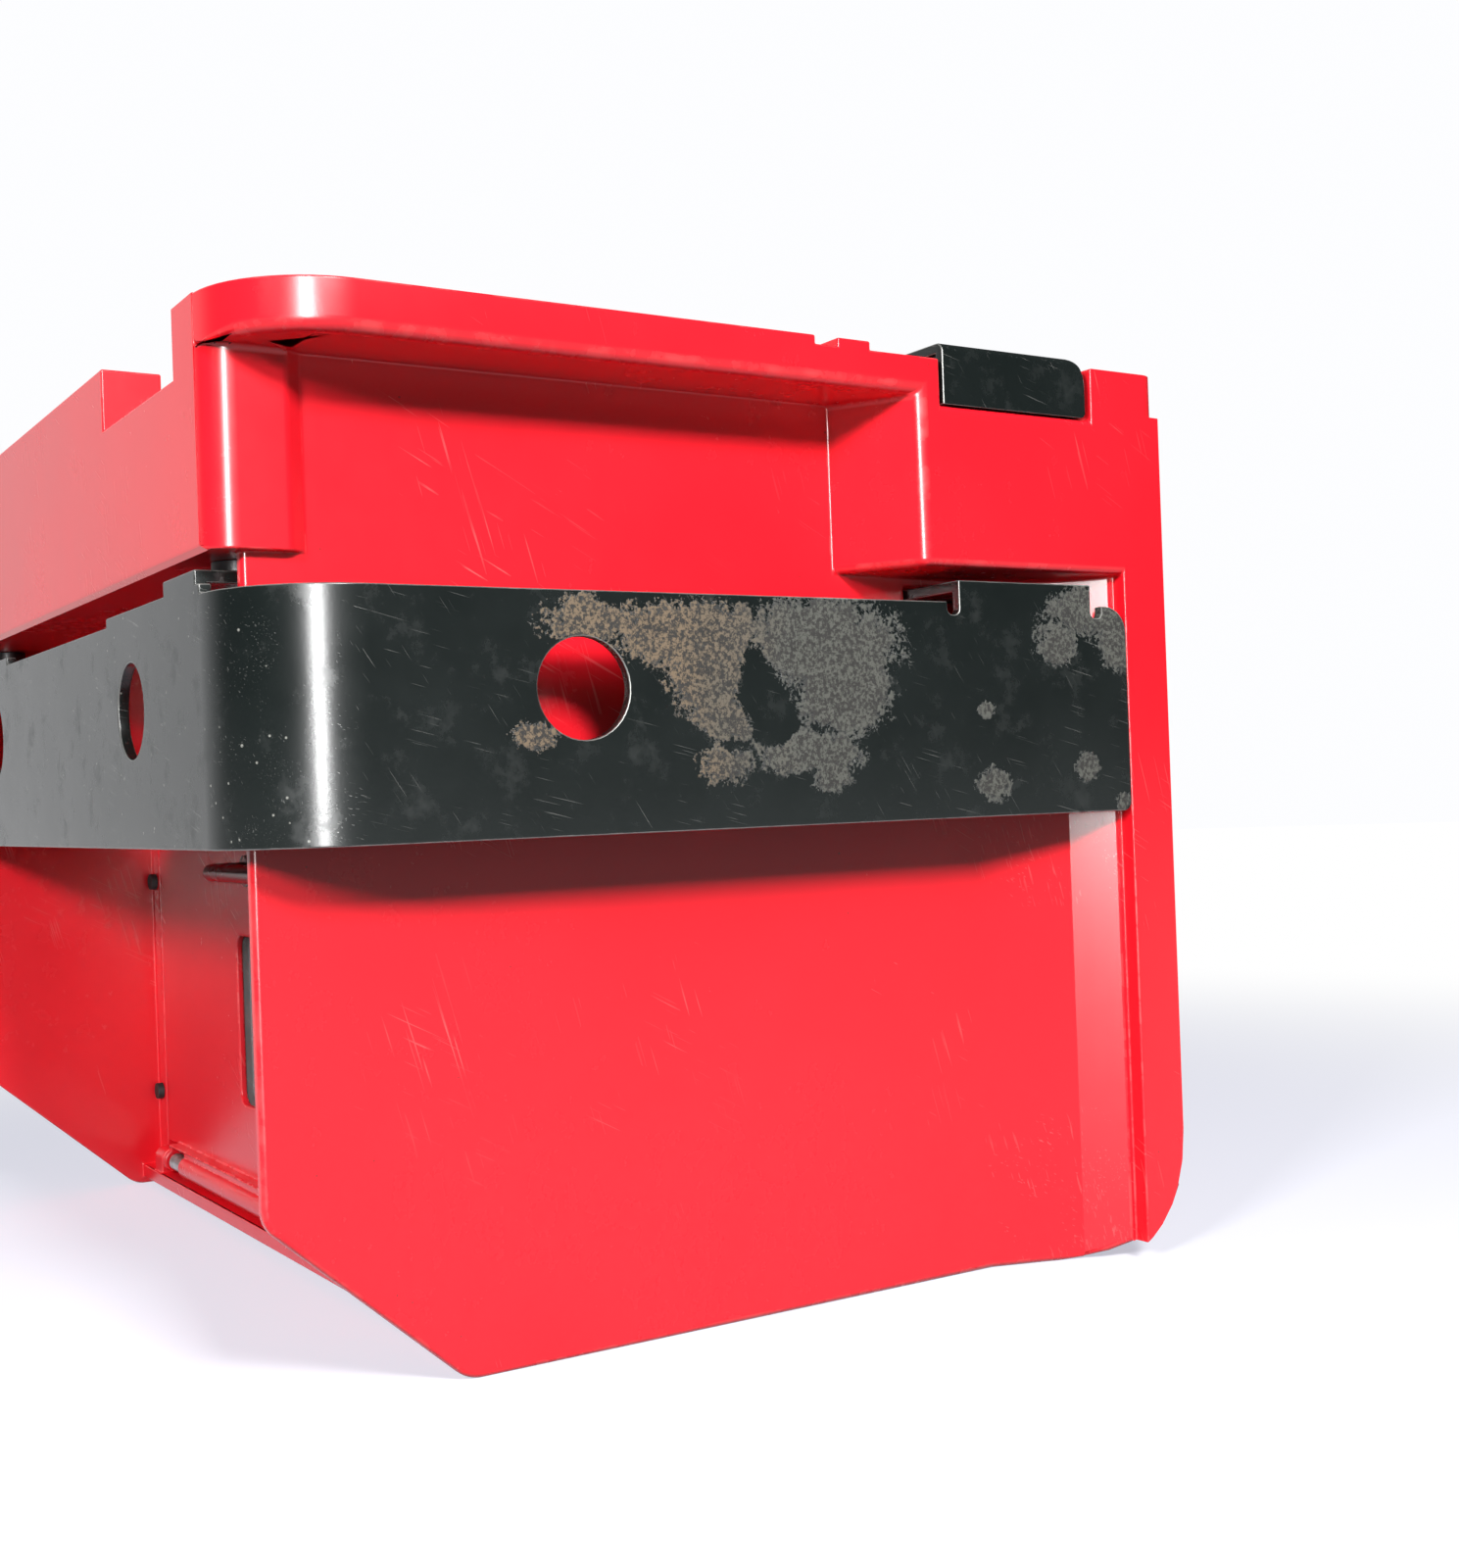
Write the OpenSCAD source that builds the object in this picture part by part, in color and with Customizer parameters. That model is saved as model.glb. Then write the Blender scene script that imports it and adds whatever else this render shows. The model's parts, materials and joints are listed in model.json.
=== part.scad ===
// Newspaper vending box: a moulded housing with a flat steel security band, a pull-down door
// under the band, a loading lid inside the rim and a coin latch in the header.
// X runs across the box, the front looks towards -Y, Z is up, and the box stands on Z = 0.

/* [Housing] */
// Width across the rim and the band
body_w = 600; // [500:1:720]
// Depth from the front face to the rear flange
body_d = 470; // [420:1:600]
// Height of the rim above the ground
body_h = 438; // [420:1:560]
// Wall thickness of the mouldings
wall = 6; // [4:0.5:8]
// How far the side walls are set in from the rim
side_recess = 40; // [30:1:48]
// Height of the rim band
rim_h = 21; // [16:1:28]
// Radius of the rim and of the band at the front corners
corner_r = 50; // [40:1:60]
// How far the side walls stand back from the front face
shield_setback = 14; // [8:1:24]
// Run and rise of the chamfer at the foot of each side wall
chamfer_run = 84; // [60:1:100]
chamfer_rise = 75; // [50:1:95]
// Radius of the heel at the rear
heel_r = 58; // [40:1:70]
// Depth of the recess in front of the door
door_recess = 115; // [100:1:130]

/* [Steel band] */
// Height of the band's lower edge above the ground
band_z = 222; // [205:1:240]
// Width of the flat bar
band_h = 100; // [80:1:110]
// Thickness of the flat bar
band_t = 5.2; // [4:0.1:7]
// Diameter of the chain holes
chain_hole_d = 42.2; // [30:0.1:50]
// Place of the side hole, from the front face and from the band's lower edge
side_hole_y = 141; // [110:1:180]
chain_hole_z = 60; // [40:1:65]
// Place of the front holes, from each side
front_hole_in = 155; // [130:1:180]
// Gap between the band and the underside of the header
header_gap = 16; // [12:1:22]

/* [Top] */
// Width and depth of the two notches in the front of the rim
front_notch_w = 111; // [60:1:120]
front_notch_h = 28; // [20:1:30]
// Depth of the notches that take the tie bar
side_notch_h = 25; // [20:1:30]
// Width of the tie bar
bar_w = 88; // [70:1:100]
// How far the tie bar stands above the rim
bar_rise = 4; // [2:0.5:6]
// Depth of the coin deck, front to rear
deck_d = 90; // [80:1:95]

/* [Door] */
// Clearance round the door
door_gap = 2.5; // [1.5:0.1:4]
// Diameter of the door's hinge pin
door_pin_d = 6; // [5:0.5:8]
// Width and height of the display window
window_w = 170; // [120:1:200]
window_h = 96; // [70:1:110]
// Length of the pull handle
handle_w = 130; // [90:1:160]

/* [Rear] */
// Spacing of the four mounting holes
mount_x = 400; // [240:1:400]
mount_z = 200; // [140:1:220]
// Diameter of the mounting holes
mount_d = 9; // [6.5:0.5:12]

/* [Hidden] */
$fn = 48;

// colours
red = [0.86, 0.05, 0.07];
black = [0.09, 0.1, 0.1];
steel = [0.62, 0.64, 0.66];
bright = [0.82, 0.83, 0.85];
dark = [0.16, 0.16, 0.17];
clear = [0.8, 0.85, 0.86, 0.5];
brass = [0.75, 0.6, 0.3];

// shared places
eps = 0.01;
seat = 0.2;                                  // gap between pieces that are fitted together
run = 0.05;                                  // radial clearance of a turning or sliding fit
screw_r = 2;                                 // small screws, their holes and their edge distance
screw_hole_r = 2.1;
screw_in = 6;
bolt_r = 3;                                  // bolts of the band and the tie bar
bolt_hole_r = 3.1;
tiny_hole_r = 1.6;                           // rivets and pilot holes
hw = body_w / 2;
hd = body_d / 2;
wall_in = hw - side_recess - wall;           // inner face of each side wall
wall_out = wall_in + wall;                   // outer face of each side wall
rim_z = body_h - rim_h;
band_top = band_z + band_h;
header_z = band_top + header_gap;            // underside of the header
front_y = -hd;
shield_y = front_y + shield_setback;
face_y = front_y + door_recess;              // outer face of the door and the breast wall
rim_w_front = 27;                            // depth of the rim at the front
rim_y0 = front_y + rim_w_front;
flange_w = 27;                               // rear flange, front to rear
flange_y = hd - flange_w;
rim_y1 = flange_y - 13;                      // rear end of the opening in the top
flange_x = hw - 20;                          // inner face of the rear flange

// ledges that carry the floor, the deck and the lid
ledge_w = 12;
floor_z = 12;
floor_t = 5;
ledge_z = body_h - 20;
ledge_t = 6;
deck_z = ledge_z + ledge_t;
deck_t = 6;
deck_top = deck_z + deck_t;

// front notches
notch_x1 = hw - 75;
notch_x0 = notch_x1 - front_notch_w;
notch_z = body_h - front_notch_h;
front_beam_z = notch_z - 10;

// blocks at the rear of each side, and the tie bar that rests in their notches
block_y0 = front_y + 320;
block_slant = 25;
bar_y0 = block_y0 + 13;
bar_y1 = bar_y0 + bar_w;
side_notch_y0 = bar_y0 - 2;
side_notch_y1 = bar_y1 + 4;
side_notch_z = body_h - side_notch_h;
bar_t = 5;
step_y0 = block_y0 - 58;                     // step in the rim's top, with a low boss on it
step_h = 4;
boss_len = 18;
bar_z = body_h + bar_rise - bar_t;

// door
jamb_w = 14;
door_top = band_z - 2;
door_t = 4;
door_deep = 10;
axle_y = face_y - 4;
axle_z = 20;
barrel_r = 7;
door_hw = wall_in - jamb_w - door_gap;
door_z0 = axle_z + 9;
door_z1 = door_top - door_gap;
window_z = 70;
frame_w = 12;
sill_y = face_y - 12;
lug_x = wall_in - jamb_w - 18;
lug_w = 16;

// coin latch
mech_x = 90;
slot_y = front_y + 70;
rod_y = face_y + 16;
rod_r = 4;
rod_up = 14;                                 // lift that frees the door
strike_z = door_z1 - 16.5;
rod_tip_z = strike_z + rod_up - 7;
lever_arm = 36;
lever_y = rod_y - lever_arm;
lever_z = deck_z - 30;
collar_z = lever_z + 5.7;
button_x = 20;
button_r = 11;
stem_r = 4;                                  // the button's stem, and how far it is pressed
button_travel = 6;

// lid
lid_y0 = rim_y0 + deck_d + 2;
hinge_y = bar_y0 - 4;
hinge_z = bar_z - 6.5;
knuckle_r = 5;
hinge_pin_r = 2.5;
lid_hw = wall_in - 1;
lock_y = lid_y0 + 16;
lock_r = 9.5;

function unit(v) = v / norm(v);
// points of the arc that rounds corner b between a and c with radius r
function rounded_corner(a, b, c, r, n = 8) = r == 0 ? [b] :
    let (u = unit(a - b), v = unit(c - b), ang = acos(u * v), cen = b + unit(u + v) * r / sin(ang / 2),
         p = b + u * r / tan(ang / 2), q = b + v * r / tan(ang / 2),
         a0 = atan2(p.y - cen.y, p.x - cen.x), a1 = atan2(q.y - cen.y, q.x - cen.x),
         turn = (a1 - a0 + 540) % 360 - 180)
    [for (i = [0:n]) cen + r * [cos(a0 + turn * i / n), sin(a0 + turn * i / n)]];
// outline through corners given as [x, y, radius]
function rounded(c) = let (n = len(c))
    [for (i = [0:n - 1]) each rounded_corner(
        [c[(i + n - 1) % n].x, c[(i + n - 1) % n].y], [c[i].x, c[i].y],
        [c[(i + 1) % n].x, c[(i + 1) % n].y], c[i][2])];

// box between two corners
module block(a, b) {
    translate(a) cube(b - a);
}
// the same piece on both sides of the centre plane
module both_sides() {
    children();
    mirror([1, 0, 0]) children();
}
// outline drawn as [y, z], extruded along X from x0 to x1
module across(x0, x1) {
    translate([x0, 0, 0]) rotate([90, 0, 90]) linear_extrude(x1 - x0) children();
}
module rod_x(r, x0, x1, y, z) {
    translate([x0, y, z]) rotate([0, 90, 0]) cylinder(h = x1 - x0, r = r);
}
module rod_y(r, x, y0, y1, z) {
    translate([x, y0, z]) rotate([-90, 0, 0]) cylinder(h = y1 - y0, r = r);
}
module rod_z(r, x, y, z0, z1) {
    translate([x, y, z0]) cylinder(h = z1 - z0, r = r);
}
// screw along +Z with a flat round head below its shank
module screw(shank_r, head_r, head_h, length) {
    cylinder(h = head_h, r = head_r);
    cylinder(h = head_h + length, r = shank_r);
}
// coil made of touching turns: one revolved outline, free of the shaft it goes round
coil_pitch = 0.92;                           // rise of each turn, as a share of the wire
module coil(r_in, wire, turns) {
    rotate_extrude() {
        for (i = [0:turns - 1])
            translate([r_in + wire / 2, wire / 2 + i * wire * coil_pitch]) circle(d = wire, $fn = 16);
        translate([r_in + wire * 0.3, wire * 0.4])
            square([wire * 0.4, (turns - 1) * wire * coil_pitch + wire * 0.2]);
    }
}
// plan of the rim: large front corners, small rear ones
module rim_plan() {
    rear_r = 10;
    translate([-hw, front_y + corner_r]) square([body_w, body_d - corner_r - rear_r]);
    translate([-hw + corner_r, front_y]) square([body_w - 2 * corner_r, corner_r]);
    translate([-hw + rear_r, hd - rear_r - eps]) square([body_w - 2 * rear_r, rear_r + eps]);
    for (s = [-1, 1]) {
        translate([s * (hw - corner_r), front_y + corner_r]) circle(corner_r, $fn = 96);
        translate([s * (hw - rear_r), hd - rear_r]) circle(rear_r);
    }
}

// ---- housing ------------------------------------------------------------------------------
// silhouette of the box from the side
side_outline = rounded([[shield_y, chamfer_rise, 14], [shield_y + chamfer_run, 0, 16],
    [hd, 0, heel_r], [hd, body_h, 0], [front_y, body_h, 0], [front_y, header_z, 3],
    [shield_y, header_z, 0]]);

// side wall with its flare out to the rear flange, in plan
module side_plan() {
    flare_y0 = flange_y - 68;
    flare_y1 = flange_y - 20;
    flare_x = wall_out + 16;
    polygon([[wall_in, shield_y], [wall_out, shield_y], [wall_out, flare_y0], [flare_x, flare_y1],
        [hw - 8, flange_y - 3], [hw - 8, flange_y], [hw, flange_y], [hw, hd], [flange_x, hd],
        [flange_x, flange_y + wall], [flare_x - 3, flare_y1 + wall], [wall_in, flare_y0 + wall]]);
}
// rounded post that closes each end of the header
module post_plan() {
    swell = 5;
    polygon(rounded([[wall_in, front_y + wall, 0], [wall_in - 2, front_y, 0],
        [wall_out + swell, front_y, 13], [wall_out + swell, front_y + 33, 6],
        [wall_out - eps, front_y + 40, 0], [wall_in, front_y + 40, 0]]));
}
module rear_block() {
    x1 = hw;
    y1 = flange_y + eps;
    difference() {
        translate([0, 0, header_z]) linear_extrude(rim_z - header_z + eps)
            polygon([[wall_in, block_y0 - block_slant], [wall_out, block_y0 - block_slant],
                [x1, block_y0], [x1, y1], [wall_in, y1]]);
        translate([0, 0, header_z + wall]) linear_extrude(side_notch_z - header_z - 2 * wall)
            polygon([[wall_in - eps, block_y0 - block_slant + 8], [wall_in, block_y0 - block_slant + 8],
                [x1 - wall, block_y0 + 4], [x1 - wall, y1 - wall], [wall_in - eps, y1 - wall]]);
    }
}
module heel() {
    cy = hd - heel_r;
    difference() {
        block([-wall_out, cy - 30, 0], [wall_out, hd, heel_r + 14]);
        rod_x(heel_r - wall, -body_w, body_w, cy, heel_r);
        block([-body_w, cy, heel_r], [body_w, hd - wall, body_h]);
        block([-body_w, cy - 60, wall], [body_w, cy, body_h]);
    }
    block([-wall_in, cy - 12, 0], [wall_in, cy, floor_z]);
}
module door_lug(x) {
    difference() {
        union() {
            rod_x(barrel_r, x - lug_w / 2, x + lug_w / 2, axle_y, axle_z);
            block([x - lug_w / 2, axle_y - barrel_r, floor_z - 1],
                [x + lug_w / 2, axle_y + barrel_r, axle_z]);
        }
        rod_x(door_pin_d / 2 + run, x - lug_w, x + lug_w, axle_y, axle_z);
    }
}
module rear_frame() {
    z0 = heel_r + 2;
    difference() {
        block([-flange_x - eps, hd - 2 * wall, z0 - 4], [flange_x + eps, hd - wall, rim_z + eps]);
        block([-flange_x + 16, -body_d, z0 + 12], [flange_x - 16, body_d, rim_z - 14]);
    }
}
module housing() {
    color(red) difference() {
        intersection() {
            union() {
                // rim, with the beam behind the front notches
                translate([0, 0, rim_z]) linear_extrude(rim_h) difference() {
                    rim_plan();
                    translate([-wall_in, rim_y0]) square([2 * wall_in, rim_y1 - rim_y0]);
                }
                block([-wall_in, front_y, front_beam_z], [wall_in, rim_y0, body_h]);
                // side walls, posts and rear blocks
                both_sides() {
                    linear_extrude(rim_z + eps) side_plan();
                    translate([0, 0, header_z]) linear_extrude(rim_z - header_z + eps) post_plan();
                    rear_block();
                    block([wall_in - ledge_w, rim_y0 - eps, ledge_z],
                        [wall_in + eps, rim_y1 + eps, ledge_z + ledge_t]);
                    block([wall_in - ledge_w, face_y, 4], [wall_in + eps, hd - heel_r, floor_z]);
                    block([wall_in - jamb_w, face_y, 4], [wall_in + eps, face_y + wall, header_z + eps]);
                }
                block([-wall_in - eps, rim_y0 - eps, ledge_z],
                    [wall_in + eps, rim_y0 + 10, ledge_z + ledge_t]);
                // header
                block([-wall_in - eps, front_y, header_z], [wall_in + eps, front_y + wall, body_h]);
                block([-wall_in - eps, front_y, header_z], [wall_in + eps, face_y + wall, header_z + wall]);
                block([-wall_in - eps, face_y, door_top], [wall_in + eps, face_y + wall, header_z + wall]);
                // sill with the lugs of the door hinge
                block([-wall_in - eps, sill_y, 4], [wall_in + eps, face_y + wall, floor_z]);
                for (x = [-lug_x, 0, lug_x]) door_lug(x);
                heel();
                rear_frame();
            }
            across(-body_w, body_w) polygon(side_outline);
        }
        both_sides() {
            // notches in the front of the rim and over the rear blocks
            block([notch_x0, front_y - 1, notch_z], [notch_x1, rim_y0 + 1, body_h + 1]);
            block([wall_in - 1, side_notch_y0, side_notch_z], [hw + 1, side_notch_y1, body_h + 1]);
            // step in the rim's top, with one low boss left standing
            difference() {
                block([wall_in - 1, step_y0, body_h - step_h], [hw + 1, side_notch_y0 + 1, body_h + 1]);
                block([wall_in - 2, step_y0 + 12, 0], [hw + 2, step_y0 + 12 + boss_len, body_h]);
            }
            // slot for the band's hook
            block([wall_in - 1, hook_y0 - seat, hook_z0 - seat],
                [hw - band_t, hook_y1 + seat, hook_z1 + seat]);
            // holes for the screws of the floor, band, tie bar, deck and rear panel
            for (y = floor_screw_y) rod_z(screw_hole_r, wall_in - screw_in, y, 3, floor_z + 1);
            rod_z(bolt_hole_r, front_tab_x, front_tab_y, header_z - 1, header_z + wall + 1);
            for (y = bar_screw_y)
                rod_z(bolt_hole_r, packer_x, y, side_notch_z - wall - 1, side_notch_z + 1);
            for (y = deck_screw_y)
                rod_z(screw_hole_r, wall_in - screw_in, y, ledge_z - 1, ledge_z + ledge_t + 1);
            for (z = rear_screw_z)
                rod_y(screw_hole_r, flange_x - rear_screw_in, hd - 2 * wall - 1, hd - wall + 1, z);
        }
    }
}

// ---- rear panel and floor -----------------------------------------------------------------
rear_z0 = heel_r + 14 + seat;
rear_z1 = rim_z - seat;
mount_mid_z = (rear_z0 + rear_z1) / 2;
rear_screw_z = [rear_z0 + 20, mount_mid_z, rear_z1 - 20];
rear_screw_in = 8;
boss_w = 30;                                 // mounting bosses, beyond the holes
boss_h = 24;
boss_t = 10;
louvre_pitch = 12;
module rear_panel() {
    color(red) difference() {
        union() {
            block([-flange_x + seat, hd - wall, rear_z0], [flange_x - seat, hd - 1, rear_z1]);
            for (s = [-1, 1])
                block([-mount_x / 2 - boss_w, hd - wall - boss_t, mount_mid_z + s * mount_z / 2 - boss_h],
                    [mount_x / 2 + boss_w, hd - wall + eps, mount_mid_z + s * mount_z / 2 + boss_h]);
        }
        for (x = [-1, 1], z = [-1, 1])
            rod_y(mount_d / 2, x * mount_x / 2, 0, body_d, mount_mid_z + z * mount_z / 2);
        for (x = [-1, 1], z = rear_screw_z)
            rod_y(screw_hole_r, x * (flange_x - rear_screw_in), 0, body_d, z);
        // vent louvres
        for (i = [-3:3])
            block([-70, 0, mount_mid_z + i * louvre_pitch - 2], [70, body_d, mount_mid_z + i * louvre_pitch + 2]);
    }
}
module rear_screws() {
    color(steel) for (x = [-1, 1], z = rear_screw_z)
        translate([x * (flange_x - rear_screw_in), hd + 2, z]) rotate([90, 0, 0])
            screw(screw_r, 4.5, 3, 12);
}
floor_y0 = face_y + wall + seat;
floor_y1 = hd - heel_r + 14;
floor_screw_y = [floor_y0 + 20, 0, hd - heel_r - 45];
module floor_panel() {
    color(red) difference() {
        block([-wall_in + seat, floor_y0, floor_z], [wall_in - seat, floor_y1, floor_z + floor_t]);
        for (x = [-1, 1], y = floor_screw_y)
            rod_z(screw_hole_r, x * (wall_in - screw_in), y, 0, floor_z + floor_t + 1);
        // drain holes
        for (x = [-160:80:160]) rod_z(5, x, 40, 0, floor_z + floor_t + 1);
    }
}
module floor_screws() {
    color(steel) for (x = [-1, 1], y = floor_screw_y)
        translate([x * (wall_in - screw_in), y, 1.2]) screw(screw_r, 4.2, 2.6, 12.5);
}

// ---- steel band ---------------------------------------------------------------------------
hook_w = 82;                                 // the hooks, under the tie bar's ends
hook_y0 = bar_y0 + 5;
hook_y1 = hook_y0 + hook_w;
hook_z1 = band_top + 10;
hook_z0 = hook_z1 - band_t;
band_end_y = flange_y - seat;
front_tab_x = notch_x1 - 2;
front_tab_w = 44;
front_tab_y = front_y + 24;
front_step_x = hw - 192;
module band_plan(t) {
    difference() {
        union() {
            translate([-hw + corner_r, front_y]) square([body_w - 2 * corner_r, t]);
            for (s = [-1, 1]) translate([s * (hw - corner_r), front_y + corner_r]) circle(corner_r, $fn = 96);
            for (s = [0, 1]) mirror([s, 0])
                translate([hw - t, front_y + corner_r]) square([t, band_end_y - front_y - corner_r]);
        }
        for (s = [-1, 1]) translate([s * (hw - corner_r), front_y + corner_r]) circle(corner_r - t, $fn = 96);
        translate([-hw + corner_r, front_y + t]) square([body_w - 2 * corner_r, body_d]);
        translate([-hw + t, front_y + corner_r]) square([body_w - 2 * t, body_d]);
    }
}
// outline of the side leg, hook and end corners, as [y, z]
module leg_outline() {
    polygon(rounded([[front_y - 1, band_z, 0], [band_end_y, band_z, 5], [band_end_y, band_top, 13],
        [hook_y1 + 7, band_top, 0], [hook_y1 + 7, band_top - 6, 3], [hook_y1, band_top - 6, 3],
        [hook_y1, hook_z1, 0], [hook_y0, hook_z1, 0], [hook_y0, band_top - 6, 3],
        [hook_y0 - 7, band_top - 6, 3], [hook_y0 - 7, band_top, 0], [front_y - 1, band_top, 0]]));
}
module steel_band() {
    color(black) difference() {
        union() {
            intersection() {
                translate([0, 0, band_z]) linear_extrude(band_h + 20) band_plan(band_t);
                union() {
                    across(-body_w, body_w) difference() {
                        leg_outline();
                        translate([front_y - 2, band_z - 1]) square([corner_r + 3, band_h + 30]);
                    }
                    block([-hw, front_y, band_z], [hw, front_y + corner_r + 3, band_top]);
                    both_sides() block([front_step_x, front_y, band_z],
                        [hw - corner_r, front_y + band_t, band_top + 4]);
                    both_sides() block([front_tab_x - front_tab_w / 2, front_y, band_z],
                        [front_tab_x + front_tab_w / 2, front_y + band_t, hook_z1]);
                }
            }
            both_sides() {
                // hook bent in through the side wall
                block([wall_in - 8, hook_y0, hook_z0], [hw - band_t / 2, hook_y1, hook_z1]);
                // tab bent in under the header
                block([front_tab_x - front_tab_w / 2, front_y + band_t / 2, hook_z0],
                    [front_tab_x + front_tab_w / 2, front_y + 44, hook_z1]);
            }
        }
        both_sides() {
            rod_x(chain_hole_d / 2, hw - 20, hw + 5, front_y + side_hole_y, band_z + chain_hole_z);
            rod_y(chain_hole_d / 2, hw - front_hole_in, front_y - 5, front_y + 20, band_z + chain_hole_z);
            rod_z(bolt_hole_r, front_tab_x, front_tab_y, band_z, body_h);
        }
    }
}
module band_spacers() {
    color(dark) both_sides() difference() {
        rod_z(10, front_tab_x, front_tab_y, hook_z1, header_z);
        rod_z(bolt_hole_r, front_tab_x, front_tab_y, 0, body_h);
    }
}
module band_screws() {
    color(steel) both_sides() translate([front_tab_x, front_tab_y, hook_z0 - 4])
        screw(bolt_r, 6, 4, header_z - hook_z0 + wall + 3);
}

// ---- tie bar ------------------------------------------------------------------------------
packer_x = (wall_in + hw) / 2;
bar_screw_y = [bar_y0 + 20, bar_y1 - 20];
module top_tie_bar() {
    tab_outline = rounded([[bar_y0, side_notch_z + seat, 0], [bar_y1, side_notch_z + seat, 3],
        [bar_y1, bar_z + bar_t, 11], [bar_y0, bar_z + bar_t, 0]]);
    color(black) intersection() {
        union() {
            block([-hw, bar_y0, bar_z], [hw, bar_y1, bar_z + bar_t]);
            both_sides() block([hw - bar_t, bar_y0, side_notch_z + seat], [hw, bar_y1, bar_z + eps]);
        }
        across(-body_w, body_w) polygon(tab_outline);
        // small bend radius along the top edge of each tab
        rotate([90, 0, 0]) translate([0, 0, -body_d]) linear_extrude(2 * body_d)
            polygon(rounded([[-hw, 0, 0], [hw, 0, 0], [hw, bar_z + bar_t, 4.5], [-hw, bar_z + bar_t, 4.5]]));
    }
}
module bar_packers() {
    color(dark) both_sides() difference() {
        block([wall_in + 4, bar_y0 + 2, side_notch_z], [hw - bar_t - seat, bar_y1 - 2, bar_z]);
        for (y = bar_screw_y) rod_z(bolt_hole_r, packer_x, y, 0, bar_z - 6);
    }
}
module bar_screws() {
    color(steel) both_sides() for (y = bar_screw_y)
        translate([packer_x, y, side_notch_z - wall - 3]) screw(bolt_r, 6, 3, wall + 16);
}

// ---- coin deck ----------------------------------------------------------------------------
deck_screw_y = [rim_y0 + 16, rim_y0 + deck_d - 16];
module coin_deck() {
    y0 = rim_y0 + seat;
    y1 = rim_y0 + deck_d;
    color(red) difference() {
        union() {
            block([-wall_in + 0.5, y0, deck_z], [wall_in - 0.5, y1, deck_top]);
            block([-wall_in + 20, y1 - 4, deck_z - 14], [wall_in - 20, y1, deck_z + eps]);
            // raised pad round the coin slot and the button
            block([button_x - 28, slot_y - 30, deck_top - eps], [mech_x + 42, slot_y + 30, deck_top + 2]);
        }
        block([mech_x - 2, slot_y - 17, 0], [mech_x + 2, slot_y + 17, body_h + 10]);
        rod_z(button_r + 0.4, button_x, slot_y, 0, body_h + 10);
        for (x = [-1, 1], y = deck_screw_y)
            rod_z(screw_hole_r, x * (wall_in - screw_in), y, 0, body_h + 10);
    }
}
module deck_hooks() {
    w = 22;
    x0 = notch_x1 - 2 - w;
    color(steel) both_sides() {
        block([x0, rim_y0 - 8, notch_z], [x0 + w, rim_y0 - 4, deck_top + 4]);
        block([x0, rim_y0 - 8, deck_top + seat], [x0 + w, rim_y0 + 22, deck_top + 4]);
    }
}
module deck_screws() {
    color(steel) for (x = [-1, 1], y = deck_screw_y)
        translate([x * (wall_in - screw_in), y, deck_top + 2.5]) rotate([180, 0, 0])
            screw(screw_r, 4.2, 2.5, 14);
}
plate_z = deck_top + 2;
module coin_slot_plate() {
    color(bright) difference() {
        union() {
            block([mech_x - 22, slot_y - 26, plate_z], [mech_x + 22, slot_y + 26, plate_z + 2]);
            block([mech_x - 6, slot_y - 20, plate_z], [mech_x + 6, slot_y + 20, plate_z + 3.5]);
        }
        block([mech_x - 1.4, slot_y - 15, 0], [mech_x + 1.4, slot_y + 15, body_h + 10]);
        for (x = [-1, 1], y = [-1, 1])
            rod_z(tiny_hole_r, mech_x + x * 16, slot_y + y * 20, 0, body_h + 10);
    }
}
module coin_chute() {
    z0 = lever_z + 16;
    color(bright) difference() {
        union() {
            block([mech_x - 6, slot_y - 21, z0], [mech_x + 6, slot_y + 21, deck_z]);
            block([mech_x - 14, slot_y - 25, deck_z - 2], [mech_x + 14, slot_y + 25, deck_z]);
        }
        block([mech_x - 4, slot_y - 19, z0 - 1], [mech_x + 4, slot_y + 19, deck_z + 1]);
    }
}
// frame under the deck: two cheeks, a rod guide and a guide for the button's stem
cheek_x = 20;
cheek_t = 1;                                 // half the thickness of a cheek
guide_z = lever_z - 22;
arm_drop = 24;                               // depth of the button's guide below the deck
module mech_frame() {
    y0 = slot_y - 24;
    y1 = rod_y + 12;
    color(steel) difference() {
        union() {
            for (s = [-1, 1]) {
                x0 = mech_x + s * cheek_x - cheek_t;
                x1 = mech_x + s * cheek_x + cheek_t;
                block([x0, y0, lever_z - 14], [x1, y1, deck_z - 16]);
                block([x0, y0, deck_z - 17], [x1, rim_y0 + deck_d - 6, deck_z]);
                block([x0, y1 - 24, guide_z], [x1, y1, lever_z - 13]);
            }
            block([mech_x - cheek_x, y1 - 24, guide_z], [mech_x + cheek_x, y1, guide_z + 2]);
            // arm out to the button's stem
            block([button_x - 17, slot_y - 10, deck_z - arm_drop - 2],
                [mech_x - cheek_x, slot_y + 10, deck_z - arm_drop]);
            block([button_x - 17, slot_y - 10, deck_z - arm_drop - 2], [button_x - 15, slot_y + 10, deck_z]);
        }
        rod_x(3 + run, 0, body_w, lever_y, lever_z);
        rod_z(rod_r + run, mech_x, rod_y, 0, body_h);
        rod_z(stem_r + run, button_x, slot_y, 0, body_h);
    }
}
module lever_pin() {
    color(bright) {
        rod_x(3, mech_x - cheek_x - 4, mech_x + cheek_x + 4, lever_y, lever_z);
        rod_x(5, mech_x - cheek_x - 4, mech_x - cheek_x - cheek_t - seat, lever_y, lever_z);
        rod_x(5, mech_x + cheek_x + cheek_t + seat, mech_x + cheek_x + 4, lever_y, lever_z);
    }
}
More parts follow.
